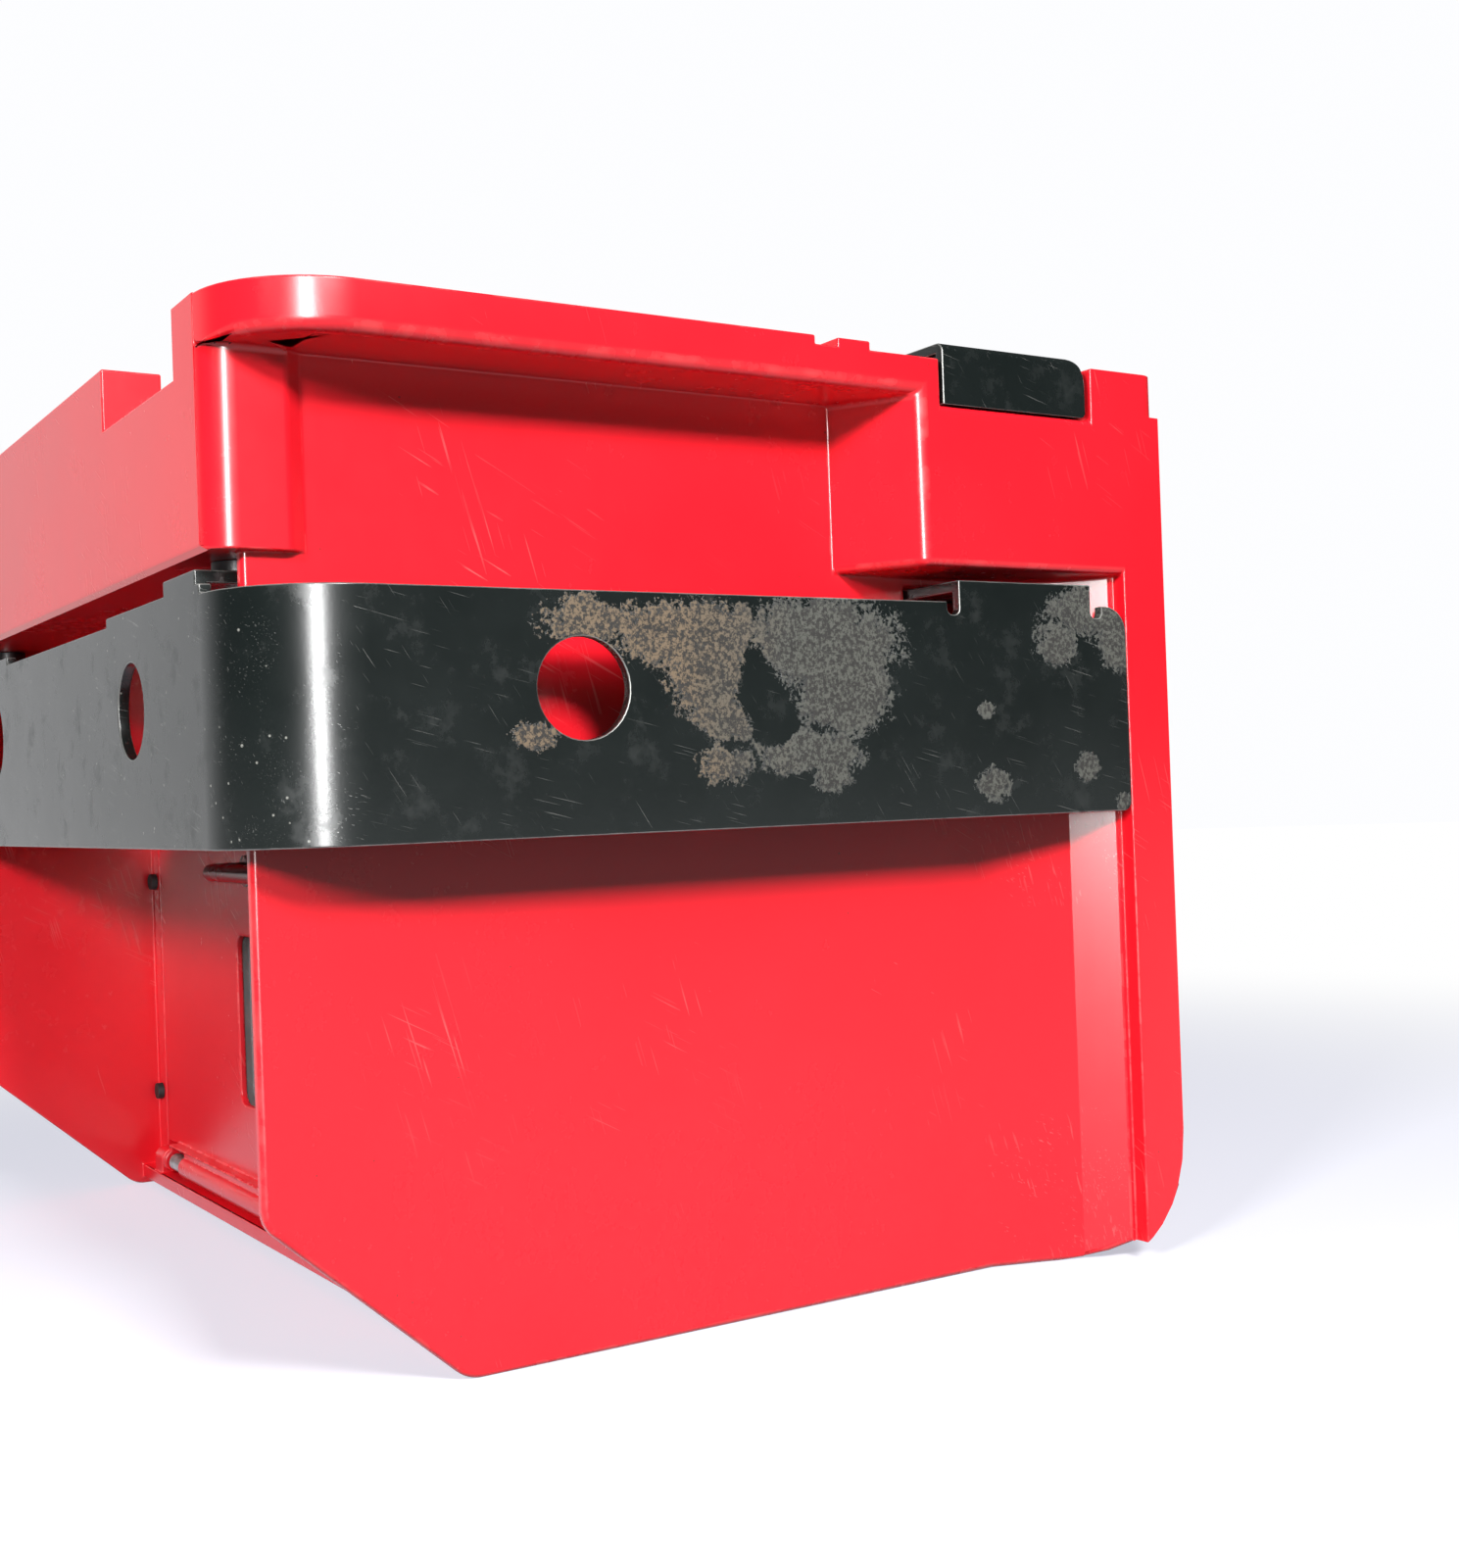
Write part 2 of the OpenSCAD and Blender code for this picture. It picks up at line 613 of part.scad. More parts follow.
module coin_lever() {
    arm_z = lever_z - 2;
    color(brass) difference() {
        union() {
            rod_x(6, mech_x - 14, mech_x + 14, lever_y, lever_z);
            // pad that the coin lands on
            block([mech_x - 12, slot_y - 10, arm_z], [mech_x + 12, lever_y, arm_z + 3]);
            // fork with a nib on each side of the rod
            for (s = [-1, 1]) {
                block([mech_x + s * 8 - 2, lever_y, arm_z], [mech_x + s * 8 + 2, rod_y + 4, arm_z + 3]);
                block([mech_x + s * 8 - 2, rod_y - 2, arm_z], [mech_x + s * 8 + 2, rod_y + 2, lever_z + 4.5]);
            }
        }
        rod_x(3 + run, 0, body_w, lever_y, lever_z);
    }
}
module latch_rod() {
    color(steel) {
        rod_z(rod_r, mech_x, rod_y, rod_tip_z, collar_z + 8);
        difference() {
            rod_z(11, mech_x, rod_y, collar_z, collar_z + 3);
            block([0, rod_y + 5.5, 0], [body_w, body_d, body_h]);
            block([0, -body_d, 0], [body_w, rod_y - 5.5, body_h]);
        }
    }
}
module latch_spring() {
    color(bright) translate([mech_x, rod_y, guide_z + 2]) coil(rod_r + 0.5, 1.2, 4);
}
module button_bezel() {
    color(bright) difference() {
        rod_z(button_r + 5, button_x, slot_y, plate_z, plate_z + 2.5);
        rod_z(button_r + 0.5, button_x, slot_y, 0, body_h + 10);
    }
}
module return_button() {
    color(bright) {
        rod_z(button_r, button_x, slot_y, deck_top - 1, body_h - 1);
        rod_z(stem_r, button_x, slot_y, deck_z - arm_drop - 10, deck_top);
    }
}
module button_spring() {
    wire = 1.4;
    room = deck_top - 1 - button_travel - 3 - (deck_z - arm_drop);
    color(bright) translate([button_x, slot_y, deck_z - arm_drop])
        coil(stem_r + 0.4, wire, floor(room / (wire * coil_pitch)));
}

// ---- cash box -----------------------------------------------------------------------------
cash_x0 = mech_x - 70;
cash_x1 = mech_x + 70;
cash_y0 = front_y + wall + 4;
cash_y1 = lever_y - 8;
cash_z0 = header_z + wall + 2.3;
cash_z1 = lever_z - 22;
module cash_box() {
    color(dark) difference() {
        union() {
            block([cash_x0, cash_y0, cash_z0], [cash_x1, cash_y1, cash_z1]);
            block([cash_x0 - 8, cash_y0 + 20, cash_z1 - 12], [cash_x0 + eps, cash_y1 - 20, cash_z1 - 8]);
        }
        block([cash_x0 + 3, cash_y0 + 3, cash_z0 + 3], [cash_x1 - 3, cash_y1 - 3, cash_z1 + 1]);
    }
}
module cash_box_rails() {
    z0 = header_z + wall;
    x0 = cash_x0 - 130;
    color(steel) {
        block([x0, cash_y0 - 3.3, z0], [cash_x1 + 4, cash_y0 + 10, z0 + 2]);
        block([x0, cash_y0 - 3.3, z0], [cash_x1 + 4, cash_y0 - 0.3, z0 + 16]);
        block([x0, cash_y1 - 10, z0], [cash_x1 + 4, cash_y1 + 3.3, z0 + 2]);
        block([x0, cash_y1 + 0.3, z0], [cash_x1 + 4, cash_y1 + 3.3, z0 + 16]);
        block([cash_x1 + 0.5, cash_y0 - 3.3, z0], [cash_x1 + 4, cash_y1 + 3.3, z0 + 16]);
    }
}

// ---- lid ----------------------------------------------------------------------------------
lid_knuckles = [-200, -100, 0, 100, 200];
bar_knuckles = [-150, -50, 50, 150];
knuckle_w = 49;
module lid() {
    y1 = hinge_y - knuckle_r - 2;
    color(red) difference() {
        union() {
            block([-lid_hw, lid_y0, deck_z + 0.3], [lid_hw, y1, deck_top]);
            // raised panel, and ribs below
            translate([0, 0, deck_top - eps]) linear_extrude(3)
                polygon(rounded([[-lid_hw + 30, lid_y0 + 34, 14], [lid_hw - 30, lid_y0 + 34, 14],
                    [lid_hw - 30, y1 - 16, 14], [-lid_hw + 30, y1 - 16, 14]]));
            for (x = [-150, 0, 150]) block([x - 2, lid_y0 + 40, deck_z - 10], [x + 2, y1 - 10, deck_z + 1]);
            for (x = lid_knuckles) {
                rod_x(knuckle_r, x - knuckle_w / 2, x + knuckle_w / 2, hinge_y, hinge_z);
                block([x - knuckle_w / 2, y1 - 4, deck_z + 0.3], [x + knuckle_w / 2, hinge_y, hinge_z]);
            }
        }
        rod_x(hinge_pin_r + run, -body_w, body_w, hinge_y, hinge_z);
        rod_z(lock_r + 0.1, 0, lock_y, 0, body_h + 10);
        // finger pull in the front edge
        for (s = [-1, 1]) block([s * 100 - 25, lid_y0 - 1, deck_z - 1], [s * 100 + 25, lid_y0 + 12, body_h]);
    }
}
module lid_hinge_leaf() {
    color(steel) difference() {
        union() {
            block([-175, hinge_y + 2.5, bar_z - 2.5], [175, bar_y0 + 32, bar_z - seat]);
            for (x = bar_knuckles) {
                rod_x(knuckle_r, x - knuckle_w / 2, x + knuckle_w / 2, hinge_y, hinge_z);
                block([x - knuckle_w / 2, hinge_y, hinge_z],
                    [x + knuckle_w / 2, hinge_y + knuckle_r, bar_z - seat]);
            }
        }
        rod_x(hinge_pin_r + run, -body_w, body_w, hinge_y, hinge_z);
        for (x = lid_knuckles)
            rod_x(knuckle_r + 0.5, x - knuckle_w / 2 - 0.75, x + knuckle_w / 2 + 0.75, hinge_y, hinge_z);
        for (x = bar_knuckles) rod_z(screw_hole_r, x, bar_y0 + 20, 0, body_h + 10);
    }
}
module lid_hinge_pin() {
    color(bright) rod_x(hinge_pin_r, -228, 228, hinge_y, hinge_z);
}
module hinge_screws() {
    color(steel) for (x = bar_knuckles)
        translate([x, bar_y0 + 20, bar_z - 4.9]) screw(screw_r, 4, 2.4, 2.4);
}
module lid_lock_body() {
    color(bright) difference() {
        union() {
            rod_z(lock_r, 0, lock_y, deck_z - 14, deck_top + 1);
            rod_z(lock_r + 3, 0, lock_y, deck_top, deck_top + 2.5);
            difference() {
                rod_z(lock_r + 4, 0, lock_y, deck_z - 5, deck_z + 0.3);
                rod_z(lock_r - 1, 0, lock_y, 0, body_h);
            }
        }
        rod_z(6 + run, 0, lock_y, 0, body_h + 10);
    }
}
module lid_lock_plug() {
    color(brass) difference() {
        union() {
            rod_z(6, 0, lock_y, deck_z - 20, deck_top + 2.5);
            block([-6, lock_y - 6, deck_z - 20], [32, lock_y + 6, deck_z - 17]);
        }
        block([-0.8, lock_y - 4, deck_top - 6], [0.8, lock_y + 4, body_h]);
    }
}

// ---- door ---------------------------------------------------------------------------------
module window_outline(grow) {
    x = window_w / 2 + grow;
    polygon(rounded([[-x, window_z - grow, 8 + grow / 2], [x, window_z - grow, 8 + grow / 2],
        [x, window_z + window_h + grow, 8 + grow / 2], [-x, window_z + window_h + grow, 8 + grow / 2]]));
}
// outline drawn as [x, z], extruded along Y
module facing(y0, y1) {
    translate([0, y1, 0]) rotate([90, 0, 0]) linear_extrude(y1 - y0) children();
}
lens_y = face_y + door_t;
lens_t = 3;
retainer_t = 3;
window_screw_pts = [for (x = [-1, 0, 1], z = [-1, 1])
    [x * (window_w / 2 + 4) * 0.98, window_z + window_h / 2 + z * (window_h / 2 + 8)]];
module door() {
    color(red) difference() {
        union() {
            block([-door_hw, face_y, door_z0], [door_hw, face_y + door_t, door_z1]);
            // folded edge and ribs behind the face
            difference() {
                block([-door_hw, face_y, door_z0], [door_hw, face_y + door_deep, door_z1]);
                block([-door_hw + 4, face_y - 1, door_z0 + 4], [door_hw - 4, face_y + body_d, door_z1 - 4]);
            }
            for (s = [-1, 1]) block([s * (door_hw - 45) - 2, face_y, door_z0],
                [s * (door_hw - 45) + 2, face_y + door_deep, door_z1]);
            for (s = [-1, 1]) {
                x = s * lug_x / 2;
                rod_x(barrel_r, x - barrel_w / 2, x + barrel_w / 2, axle_y, axle_z);
                block([x - barrel_w / 2, axle_y - 3, axle_z],
                    [x + barrel_w / 2, face_y + door_t, door_z0 + 1]);
            }
        }
        rod_x(door_pin_d / 2 + run, -body_w, body_w, axle_y, axle_z);
        facing(face_y - 1, face_y + door_t + 1) window_outline(0);
        // spring pockets in the hinge barrels
        both_sides() block([spring_x - 14, axle_y - 20, 0], [spring_x + 14, axle_y + 6.5, door_z0 - 0.5]);
        for (p = window_screw_pts) rod_y(tiny_hole_r, p.x, face_y + 1, face_y + 40, p.y);
        for (x = [-1, 1]) rod_y(screw_hole_r, x * handle_x, face_y - 1, face_y + 10, handle_z);
        for (x = [-1, 1]) rod_y(tiny_hole_r, mech_x + x * 9, face_y + 1, face_y + 20, strike_z - 8);
    }
}
barrel_w = lug_x - lug_w - 4;
spring_x = lug_x - lug_w / 2 - 20;
handle_z = door_z1 - 14;
handle_x = handle_w / 2 - screw_in;
module door_window() {
    color(clear) facing(lens_y, lens_y + lens_t) difference() {
        window_outline(9);
        for (p = window_screw_pts) translate(p) circle(2);
    }
}
module window_retainer() {
    color(dark) facing(lens_y + lens_t, lens_y + lens_t + retainer_t) difference() {
        window_outline(frame_w);
        window_outline(-1);
        for (p = window_screw_pts) translate(p) circle(2);
    }
}
module window_screws() {
    color(steel) for (p = window_screw_pts)
        translate([p.x, lens_y + lens_t + retainer_t + 2, p.y]) rotate([90, 0, 0]) screw(1.5, 3, 2, 8);
}
module door_handle() {
    reach = 20;
    r = 5;
    y = face_y - reach;
    x = handle_x;
    color(black) difference() {
        union() {
            rod_x(r, -x, x, y, handle_z);
            for (s = [-1, 1]) {
                translate([s * x, y, handle_z]) sphere(r);
                rod_y(r, s * x, y, face_y, handle_z);
                rod_y(9, s * x, face_y - 2.5, face_y, handle_z);
            }
        }
        for (s = [-1, 1]) rod_y(2, s * x, face_y - 12, face_y + 1, handle_z);
    }
}
module handle_screws() {
    color(steel) for (s = [-1, 1]) translate([s * handle_x, face_y + door_t + 2.2, handle_z])
        rotate([90, 0, 0]) screw(1.95, 4, 2.2, 14);
}
module door_strike() {
    y0 = face_y + door_t;
    color(steel) difference() {
        union() {
            block([mech_x - 15, y0, strike_z - 14], [mech_x + 15, y0 + 2, strike_z + 2]);
            block([mech_x - 15, y0, strike_z], [mech_x + 15, rod_y + 9, strike_z + 2]);
        }
        // square window that the rod drops into
        block([mech_x - rod_r - 1.5, rod_y - rod_r - 1, strike_z - 1],
            [mech_x + rod_r + 1.5, rod_y + rod_r + 1, strike_z + 3]);
        for (x = [-1, 1]) rod_y(tiny_hole_r, mech_x + x * 9, -body_d, body_d, strike_z - 8);
    }
}
module door_hinge_pin() {
    color(bright) rod_x(door_pin_d / 2, -lug_x - lug_w / 2 - 1, lug_x + lug_w / 2 + 1, axle_y, axle_z);
}
module door_springs() {
    r = door_pin_d / 2 + 0.4;
    color(bright) both_sides() {
        translate([spring_x - 11, axle_y, axle_z]) rotate([0, 90, 0]) coil(r, 2, 12);
        block([spring_x - 11, axle_y - r - 2, floor_z], [spring_x - 9, axle_y - r, axle_z]);
    }
}
module door_bumpers() {
    color(dark) both_sides() for (z = [door_z0 + 30, door_z1 - 24])
        rod_y(5, wall_in - 7, face_y - 4, face_y, z);
}

// ---- paper shelf --------------------------------------------------------------------------
shelf_z = floor_z + floor_t + 5;
shelf_y0 = face_y + 18;
shelf_y1 = hd - heel_r - 2;
module paper_shelf() {
    t = 2;
    color(steel) difference() {
        union() {
            across(-wall_in + 8, wall_in - 8)
                polygon([[shelf_y0, shelf_z + 12], [shelf_y0, shelf_z], [shelf_y1, shelf_z],
                    [shelf_y1 + 12, shelf_z + 60], [shelf_y1 + 10, shelf_z + 60.4],
                    [shelf_y1 - 1.6, shelf_z + t], [shelf_y0 + t, shelf_z + t], [shelf_y0 + t, shelf_z + 12]]);
            both_sides() block([wall_in - 10, shelf_y0 + 20, shelf_z], [wall_in - 8, shelf_y1 - 4, shelf_z + 40]);
        }
        for (x = [-200:50:200], y = [-50:45:130]) rod_z(8, x, y, 0, shelf_z + 10);
    }
}
module shelf_feet() {
    color(dark) for (x = [-1, 1], y = [shelf_y0 + 30, shelf_y1 - 30])
        rod_z(9, x * (wall_in - 40), y, floor_z + floor_t, shelf_z);
}

housing();
rear_panel();
rear_screws();
floor_panel();
floor_screws();
steel_band();
band_spacers();
band_screws();
top_tie_bar();
bar_packers();
bar_screws();
coin_deck();
deck_hooks();
deck_screws();
coin_slot_plate();
coin_chute();
mech_frame();
lever_pin();
coin_lever();
latch_rod();
latch_spring();
button_bezel();
return_button();
button_spring();
cash_box();
cash_box_rails();
lid();
lid_hinge_leaf();
lid_hinge_pin();
hinge_screws();
lid_lock_body();
lid_lock_plug();
door();
door_window();
window_retainer();
window_screws();
door_handle();
handle_screws();
door_strike();
door_hinge_pin();
door_springs();
door_bumpers();
paper_shelf();
shelf_feet();
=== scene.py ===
# %% [markdown]
# # A newspaper vending box
#
# The real object is a glossy moulded housing with a black steel band bent round it. Under the
# band a door hinges at its foot, above it a header holds the coin parts, and a lid closes the top.
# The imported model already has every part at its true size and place. This lesson gives each part
# the softened edges, the wear and the finish that make it look real.
#
# We start by loading that model. It is the frame for everything else: each part keeps its place,
# and each new piece rides on one of its bodies.

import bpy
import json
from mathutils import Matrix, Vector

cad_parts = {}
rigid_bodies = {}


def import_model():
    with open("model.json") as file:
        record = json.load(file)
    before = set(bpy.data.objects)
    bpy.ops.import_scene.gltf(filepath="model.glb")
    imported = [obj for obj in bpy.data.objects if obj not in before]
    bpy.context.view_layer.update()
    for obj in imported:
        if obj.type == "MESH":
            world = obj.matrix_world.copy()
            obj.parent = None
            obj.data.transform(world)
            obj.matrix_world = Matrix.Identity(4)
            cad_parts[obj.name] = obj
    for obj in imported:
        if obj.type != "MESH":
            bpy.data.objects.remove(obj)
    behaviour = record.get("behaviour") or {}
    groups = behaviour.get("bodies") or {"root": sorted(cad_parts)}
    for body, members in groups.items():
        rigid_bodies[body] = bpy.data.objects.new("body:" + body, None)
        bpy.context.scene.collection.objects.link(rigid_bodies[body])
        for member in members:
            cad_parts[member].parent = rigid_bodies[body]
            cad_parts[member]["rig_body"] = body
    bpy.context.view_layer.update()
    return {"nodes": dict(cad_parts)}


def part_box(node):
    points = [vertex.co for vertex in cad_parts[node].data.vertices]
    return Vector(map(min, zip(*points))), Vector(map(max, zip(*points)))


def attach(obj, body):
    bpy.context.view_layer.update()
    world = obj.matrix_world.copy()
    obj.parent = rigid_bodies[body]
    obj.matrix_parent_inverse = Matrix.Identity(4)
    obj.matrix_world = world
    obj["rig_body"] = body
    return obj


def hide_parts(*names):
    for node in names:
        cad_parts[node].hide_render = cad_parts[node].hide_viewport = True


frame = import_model()

# %% [markdown]
# Most places below are read from the boxes of the parts, so a change of size carries through.
# These few are the ones that several steps refer to: the faces of the housing, the steel band
# and the wall that stands back behind it.

# %% Read the main places
import json
import math

import bmesh
import bpy
from mathutils import Euler, Matrix, Vector
from mathutils.bvhtree import BVHTree

MM = 0.001
housing_lo, housing_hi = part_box("housing")
band_lo, band_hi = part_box("steel_band")
bar_lo, bar_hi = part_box("top_tie_bar")
rear_lo, rear_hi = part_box("rear_panel")
side_x = housing_hi.x
front_y = housing_lo.y
rim_z = rear_hi.z + 0.2 * MM
wall_x = side_x - 40 * MM
header_z = band_hi.z + 6 * MM
print("the band runs from", round(band_lo.z, 3), "to", round(band_hi.z, 3))
print("the rim starts at", round(rim_z, 3), "and the header at", round(header_z, 3))

# %% [markdown]
# ## Camera and light
#
# The camera stands close to the front corner, a little above the band's lower edge and nearly
# level, as a person crouching beside the box would hold it. It is set before the parts are
# finished.
# The lens is given as a focal length on a 36 mm film, and the camera is rolled by two degrees.

# %% Camera
camera_data = bpy.data.cameras.new("close_view")
camera_data.sensor_width = 36.0
camera_data.lens = 42.86
camera_data.clip_start = 0.01
camera = bpy.data.objects.new("close_view", camera_data)
bpy.context.scene.collection.objects.link(camera)
heading, pitch, roll = math.radians(57.63), math.radians(0.31), math.radians(-2.03)
aim = Euler((math.pi / 2 + pitch, 0, heading), "XYZ").to_matrix()
camera.matrix_world = Matrix.Translation((0.9696, -0.4506, 0.2369)) @ (
    aim @ Matrix.Rotation(roll, 3, "Z")
).to_4x4()
bpy.context.scene.camera = camera
print("camera at", [round(v, 3) for v in camera.location])

# %% [markdown]
# Glossy plastic shows what surrounds it, so the surroundings matter as much as the lamps. The sky
# is bright only ahead of the camera. That gives the front, seen at a glancing angle, its pale
# sheen, and leaves the side, seen square on, deep in colour. Light that has scattered off the
# floor or the sky is kept low, so that the shadows stay dark.
#
# The key lamp stands on the right and throws the soft shadows of the rim and the band. The front
# lamp lights the header without a second highlight, and the tall strip only shows in reflections,
# as the bright upright line on each rounded corner.


# %% Sky
def make_sky():
    world = bpy.data.worlds.new("soft_room")
    bpy.context.scene.world = world
    world.use_nodes = True
    tree = world.node_tree
    tree.nodes.clear()

    def add(kind, values=(), **settings):
        node = tree.nodes.new(kind)
        for key, value in settings.items():
            setattr(node, key, value)
        for key, value in values:
            if isinstance(value, bpy.types.NodeSocket):
                tree.links.new(value, node.inputs[key])
            else:
                node.inputs[key].default_value = value
        return node

    place = add("ShaderNodeTexCoord").outputs["Generated"]
    ahead = (-0.96, -0.24, 0.12)
    toward = add("ShaderNodeVectorMath", [(0, place), (1, ahead)], operation="DOT_PRODUCT")
    ends = [("From Min", 0.70), ("From Max", 0.93), ("To Min", 0.09), ("To Max", 0.85)]
    level = add("ShaderNodeMapRange", [("Value", toward.outputs["Value"]), *ends])
    ray = add("ShaderNodeLightPath").outputs
    fill = add("ShaderNodeMix", [(0, ray["Is Diffuse Ray"]), (2, level.outputs[0]), (3, 0.10)])
    seen = add("ShaderNodeMix", [(0, ray["Is Camera Ray"]), (2, fill.outputs[0]), (3, 1.0)])
    colour = (0.98, 0.985, 1.0, 1.0)
    glow = add("ShaderNodeBackground", [("Color", colour), ("Strength", seen.outputs[0])])
    add("ShaderNodeOutputWorld", [("Surface", glow.outputs[0])])


make_sky()
bpy.context.scene.view_settings.view_transform = "Standard"
print("sky ready")

# %% [markdown]
# There are three lamps, each a rectangle aimed at a point on the box. Their sizes set how soft
# the shadows and highlights are. A lamp can also be hidden from matt surfaces or from reflections,
# so that it does only one job.


# %% Lamps
def add_lamp(name, place, target, size, power, colour=(1, 1, 1)):
    lamp = bpy.data.lights.new(name, "AREA")
    lamp.shape = "RECTANGLE"
    lamp.size, lamp.size_y = size
    lamp.energy = power
    lamp.color = colour
    lamp_object = bpy.data.objects.new(name, lamp)
    bpy.context.scene.collection.objects.link(lamp_object)
    aim_line = Vector(target) - Vector(place)
    lamp_object.rotation_euler = aim_line.to_track_quat("-Z", "Y").to_euler()
    lamp_object.location = place
    return lamp_object


key = add_lamp("key", (2.3, -0.3, 1.62), (0.25, 0, 0.25), (0.5, 0.45), 84.0)
strip = add_lamp("strip", (1.75, -0.90, 0.75), (0.28, -0.2, 0.3), (0.16, 1.3), 80.0)
strip.visible_diffuse = False
front = add_lamp("front", (1.35, -2.0, 1.2), (0.2, -0.2, 0.3), (0.5, 0.45), 62.0)
front.visible_glossy = False
print("lamps:", key.name, strip.name, "and", front.name)

# %% [markdown]
# ## Finishes
#
# A finish is a small network of shader nodes. Wiring one up node by node soon hides what it does,
# so two small classes help. `Wire` stands for the output of a node and can be added, multiplied
# and subtracted like a number; each sum adds its own Math node. `Finish` adds every other node
# through one method, which takes the node's type, its settings and the values of its sockets.


# %% A node output that does sums
class Wire:
    """The output of a shader node, used like a number."""

    def __init__(self, finish, socket):
        self.finish = finish
        self.socket = socket

    def _sum(self, operation, first, second):
        return self.finish.add("ShaderNodeMath", {"operation": operation}, {0: first, 1: second})

    def __add__(self, other):
        return self._sum("ADD", self, other)

    def __mul__(self, other):
        return self._sum("MULTIPLY", self, other)

    def __sub__(self, other):
        return self._sum("SUBTRACT", self, other)

    def __rsub__(self, other):
        return self._sum("SUBTRACT", other, self)

    def __pow__(self, other):
        return self._sum("POWER", self, other)

    __radd__ = __add__
    __rmul__ = __mul__

    def at_most(self, other):
        return self._sum("MINIMUM", self, other)

    def or_more(self, other):
        return self._sum("MAXIMUM", self, other)


# %% [markdown]
# The patterns below all come from a few ideas. `noise` gives soft random blotches, and a stretched
# noise gives brushed lines and scuffs. `ramp` turns a value into a mask with a soft edge. `specks`
# keeps a few random cells of a Voronoi pattern as dots. `scratches` stretches noise far along one
# direction and keeps only its thin peaks.


# %% The finish maker
class Finish:
    """A material under construction; lengths are in metres on the object itself."""

    def __init__(self, name):
        self.material = bpy.data.materials.new(name)
        self.material.use_nodes = True
        self.tree = self.material.node_tree
        self.tree.nodes.clear()
        self.place = self.add("ShaderNodeTexCoord", out="Object")

    def add(self, kind, settings=None, inputs=None, out=0):
        node = self.tree.nodes.new(kind)
        for key, value in (settings or {}).items():
            setattr(node, key, value)
        for key, value in (inputs or {}).items():
            if isinstance(value, Wire):
                self.tree.links.new(value.socket, node.inputs[key])
            else:
                node.inputs[key].default_value = value
        return Wire(self, node.outputs[out]) if node.outputs else None

    def moved(self, stretch=(1, 1, 1), turn=(0, 0, 0), shift=(0, 0, 0)):
        sockets = {"Vector": self.place, "Location": shift, "Rotation": turn, "Scale": stretch}
        return self.add("ShaderNodeMapping", {}, sockets)

    def noise(self, size, detail=2.0, roughness=0.5, **move):
        where = self.moved(**move) if move else self.place
        sockets = {"Vector": where, "Scale": 1 / size, "Detail": detail, "Roughness": roughness}
        return self.add("ShaderNodeTexNoise", {}, sockets)

    def ramp(self, value, low, high):
        sockets = {"Value": value, "From Min": low, "From Max": high}
        return self.add("ShaderNodeMapRange", {"interpolation_type": "SMOOTHSTEP"}, sockets)

    def blend(self, factor, first, second):
        sockets = {0: factor, 6: first, 7: second}
        return self.add("ShaderNodeMix", {"data_type": "RGBA"}, sockets, out=2)

    def attribute(self, name):
        return self.add("ShaderNodeAttribute", {"attribute_name": name}, out="Fac")

    def axis(self, letter):
        return self.add("ShaderNodeSeparateXYZ", {}, {0: self.place}, out=letter)

    def near(self, centre, radii):
        """1 at the centre of an ellipsoid, falling to 0 at its surface."""
        stretch = [1 / r for r in radii]
        shift = [-c / r for c, r in zip(centre, radii)]
        where = self.moved(stretch=stretch, shift=shift)
        length = self.add("ShaderNodeVectorMath", {"operation": "LENGTH"}, {0: where}, out="Value")
        return (1 - length).or_more(0)

    def specks(self, pitch, share, reach=0.3, **move):
        where = self.moved(**move) if move else self.place
        sockets = {"Vector": where, "Scale": 1 / pitch}
        cell = self.add("ShaderNodeTexVoronoi", {}, sockets, out="Distance")
        tint = Wire(self, cell.socket.node.outputs["Color"])
        pick = self.add("ShaderNodeSeparateColor", {}, {0: tint})
        chosen = self.ramp(pick, 1 - share, 1 - share + 0.002)
        return chosen * (1 - self.ramp(cell, reach * 0.5, reach))

    def facing(self, letter):
        """1 on faces square to an axis of the object."""
        normal = self.add("ShaderNodeTexCoord", out="Normal")
        part = self.add("ShaderNodeSeparateXYZ", {}, {0: normal}, out=letter)
        return self.ramp(self.add("ShaderNodeMath", {"operation": "ABSOLUTE"}, {0: part}), 0.6, 0.8)

    def scratches(self, length, width, tilt, keep=0.68, shift=(0, 0, 0)):
        """Fine lines on the sides and the front, tilted from level; each face has its own set."""
        total = None
        for letter, heading in (("X", math.pi / 2), ("Y", 0.0)):
            sockets = {"Vector": self.place, "Location": shift, "Rotation": (0, tilt, heading)}
            sockets["Scale"] = (length / width, 1, 1)
            where = self.add("ShaderNodeMapping", {"vector_type": "TEXTURE"}, sockets)
            sockets = {"Vector": where, "Scale": 1 / width, "Detail": 1.0}
            line = self.ramp(self.add("ShaderNodeTexNoise", {}, sockets), keep, keep + 0.06)
            line = line * self.facing(letter)
            total = line if total is None else total.or_more(line)
        patchy = self.noise(length * 0.6, 1.0, shift=(shift[0] + 3, 1, 2))
        return total * self.ramp(patchy, 0.45, 0.6)

    def surface(self, colour, roughness, metallic=0.0, relief=None, height=0.1 * MM, **constants):
        inputs = {"Base Color": colour, "Roughness": roughness, "Metallic": metallic}
        inputs.update(constants)
        if relief is not None:
            bump = {"Height": relief, "Distance": height}
            inputs["Normal"] = self.add("ShaderNodeBump", {}, bump, out="Normal")
        shader = self.add("ShaderNodeBsdfPrincipled", {}, inputs)
        self.add("ShaderNodeOutputMaterial", {}, {"Surface": shader})
        return self.material


print("finish maker ready")
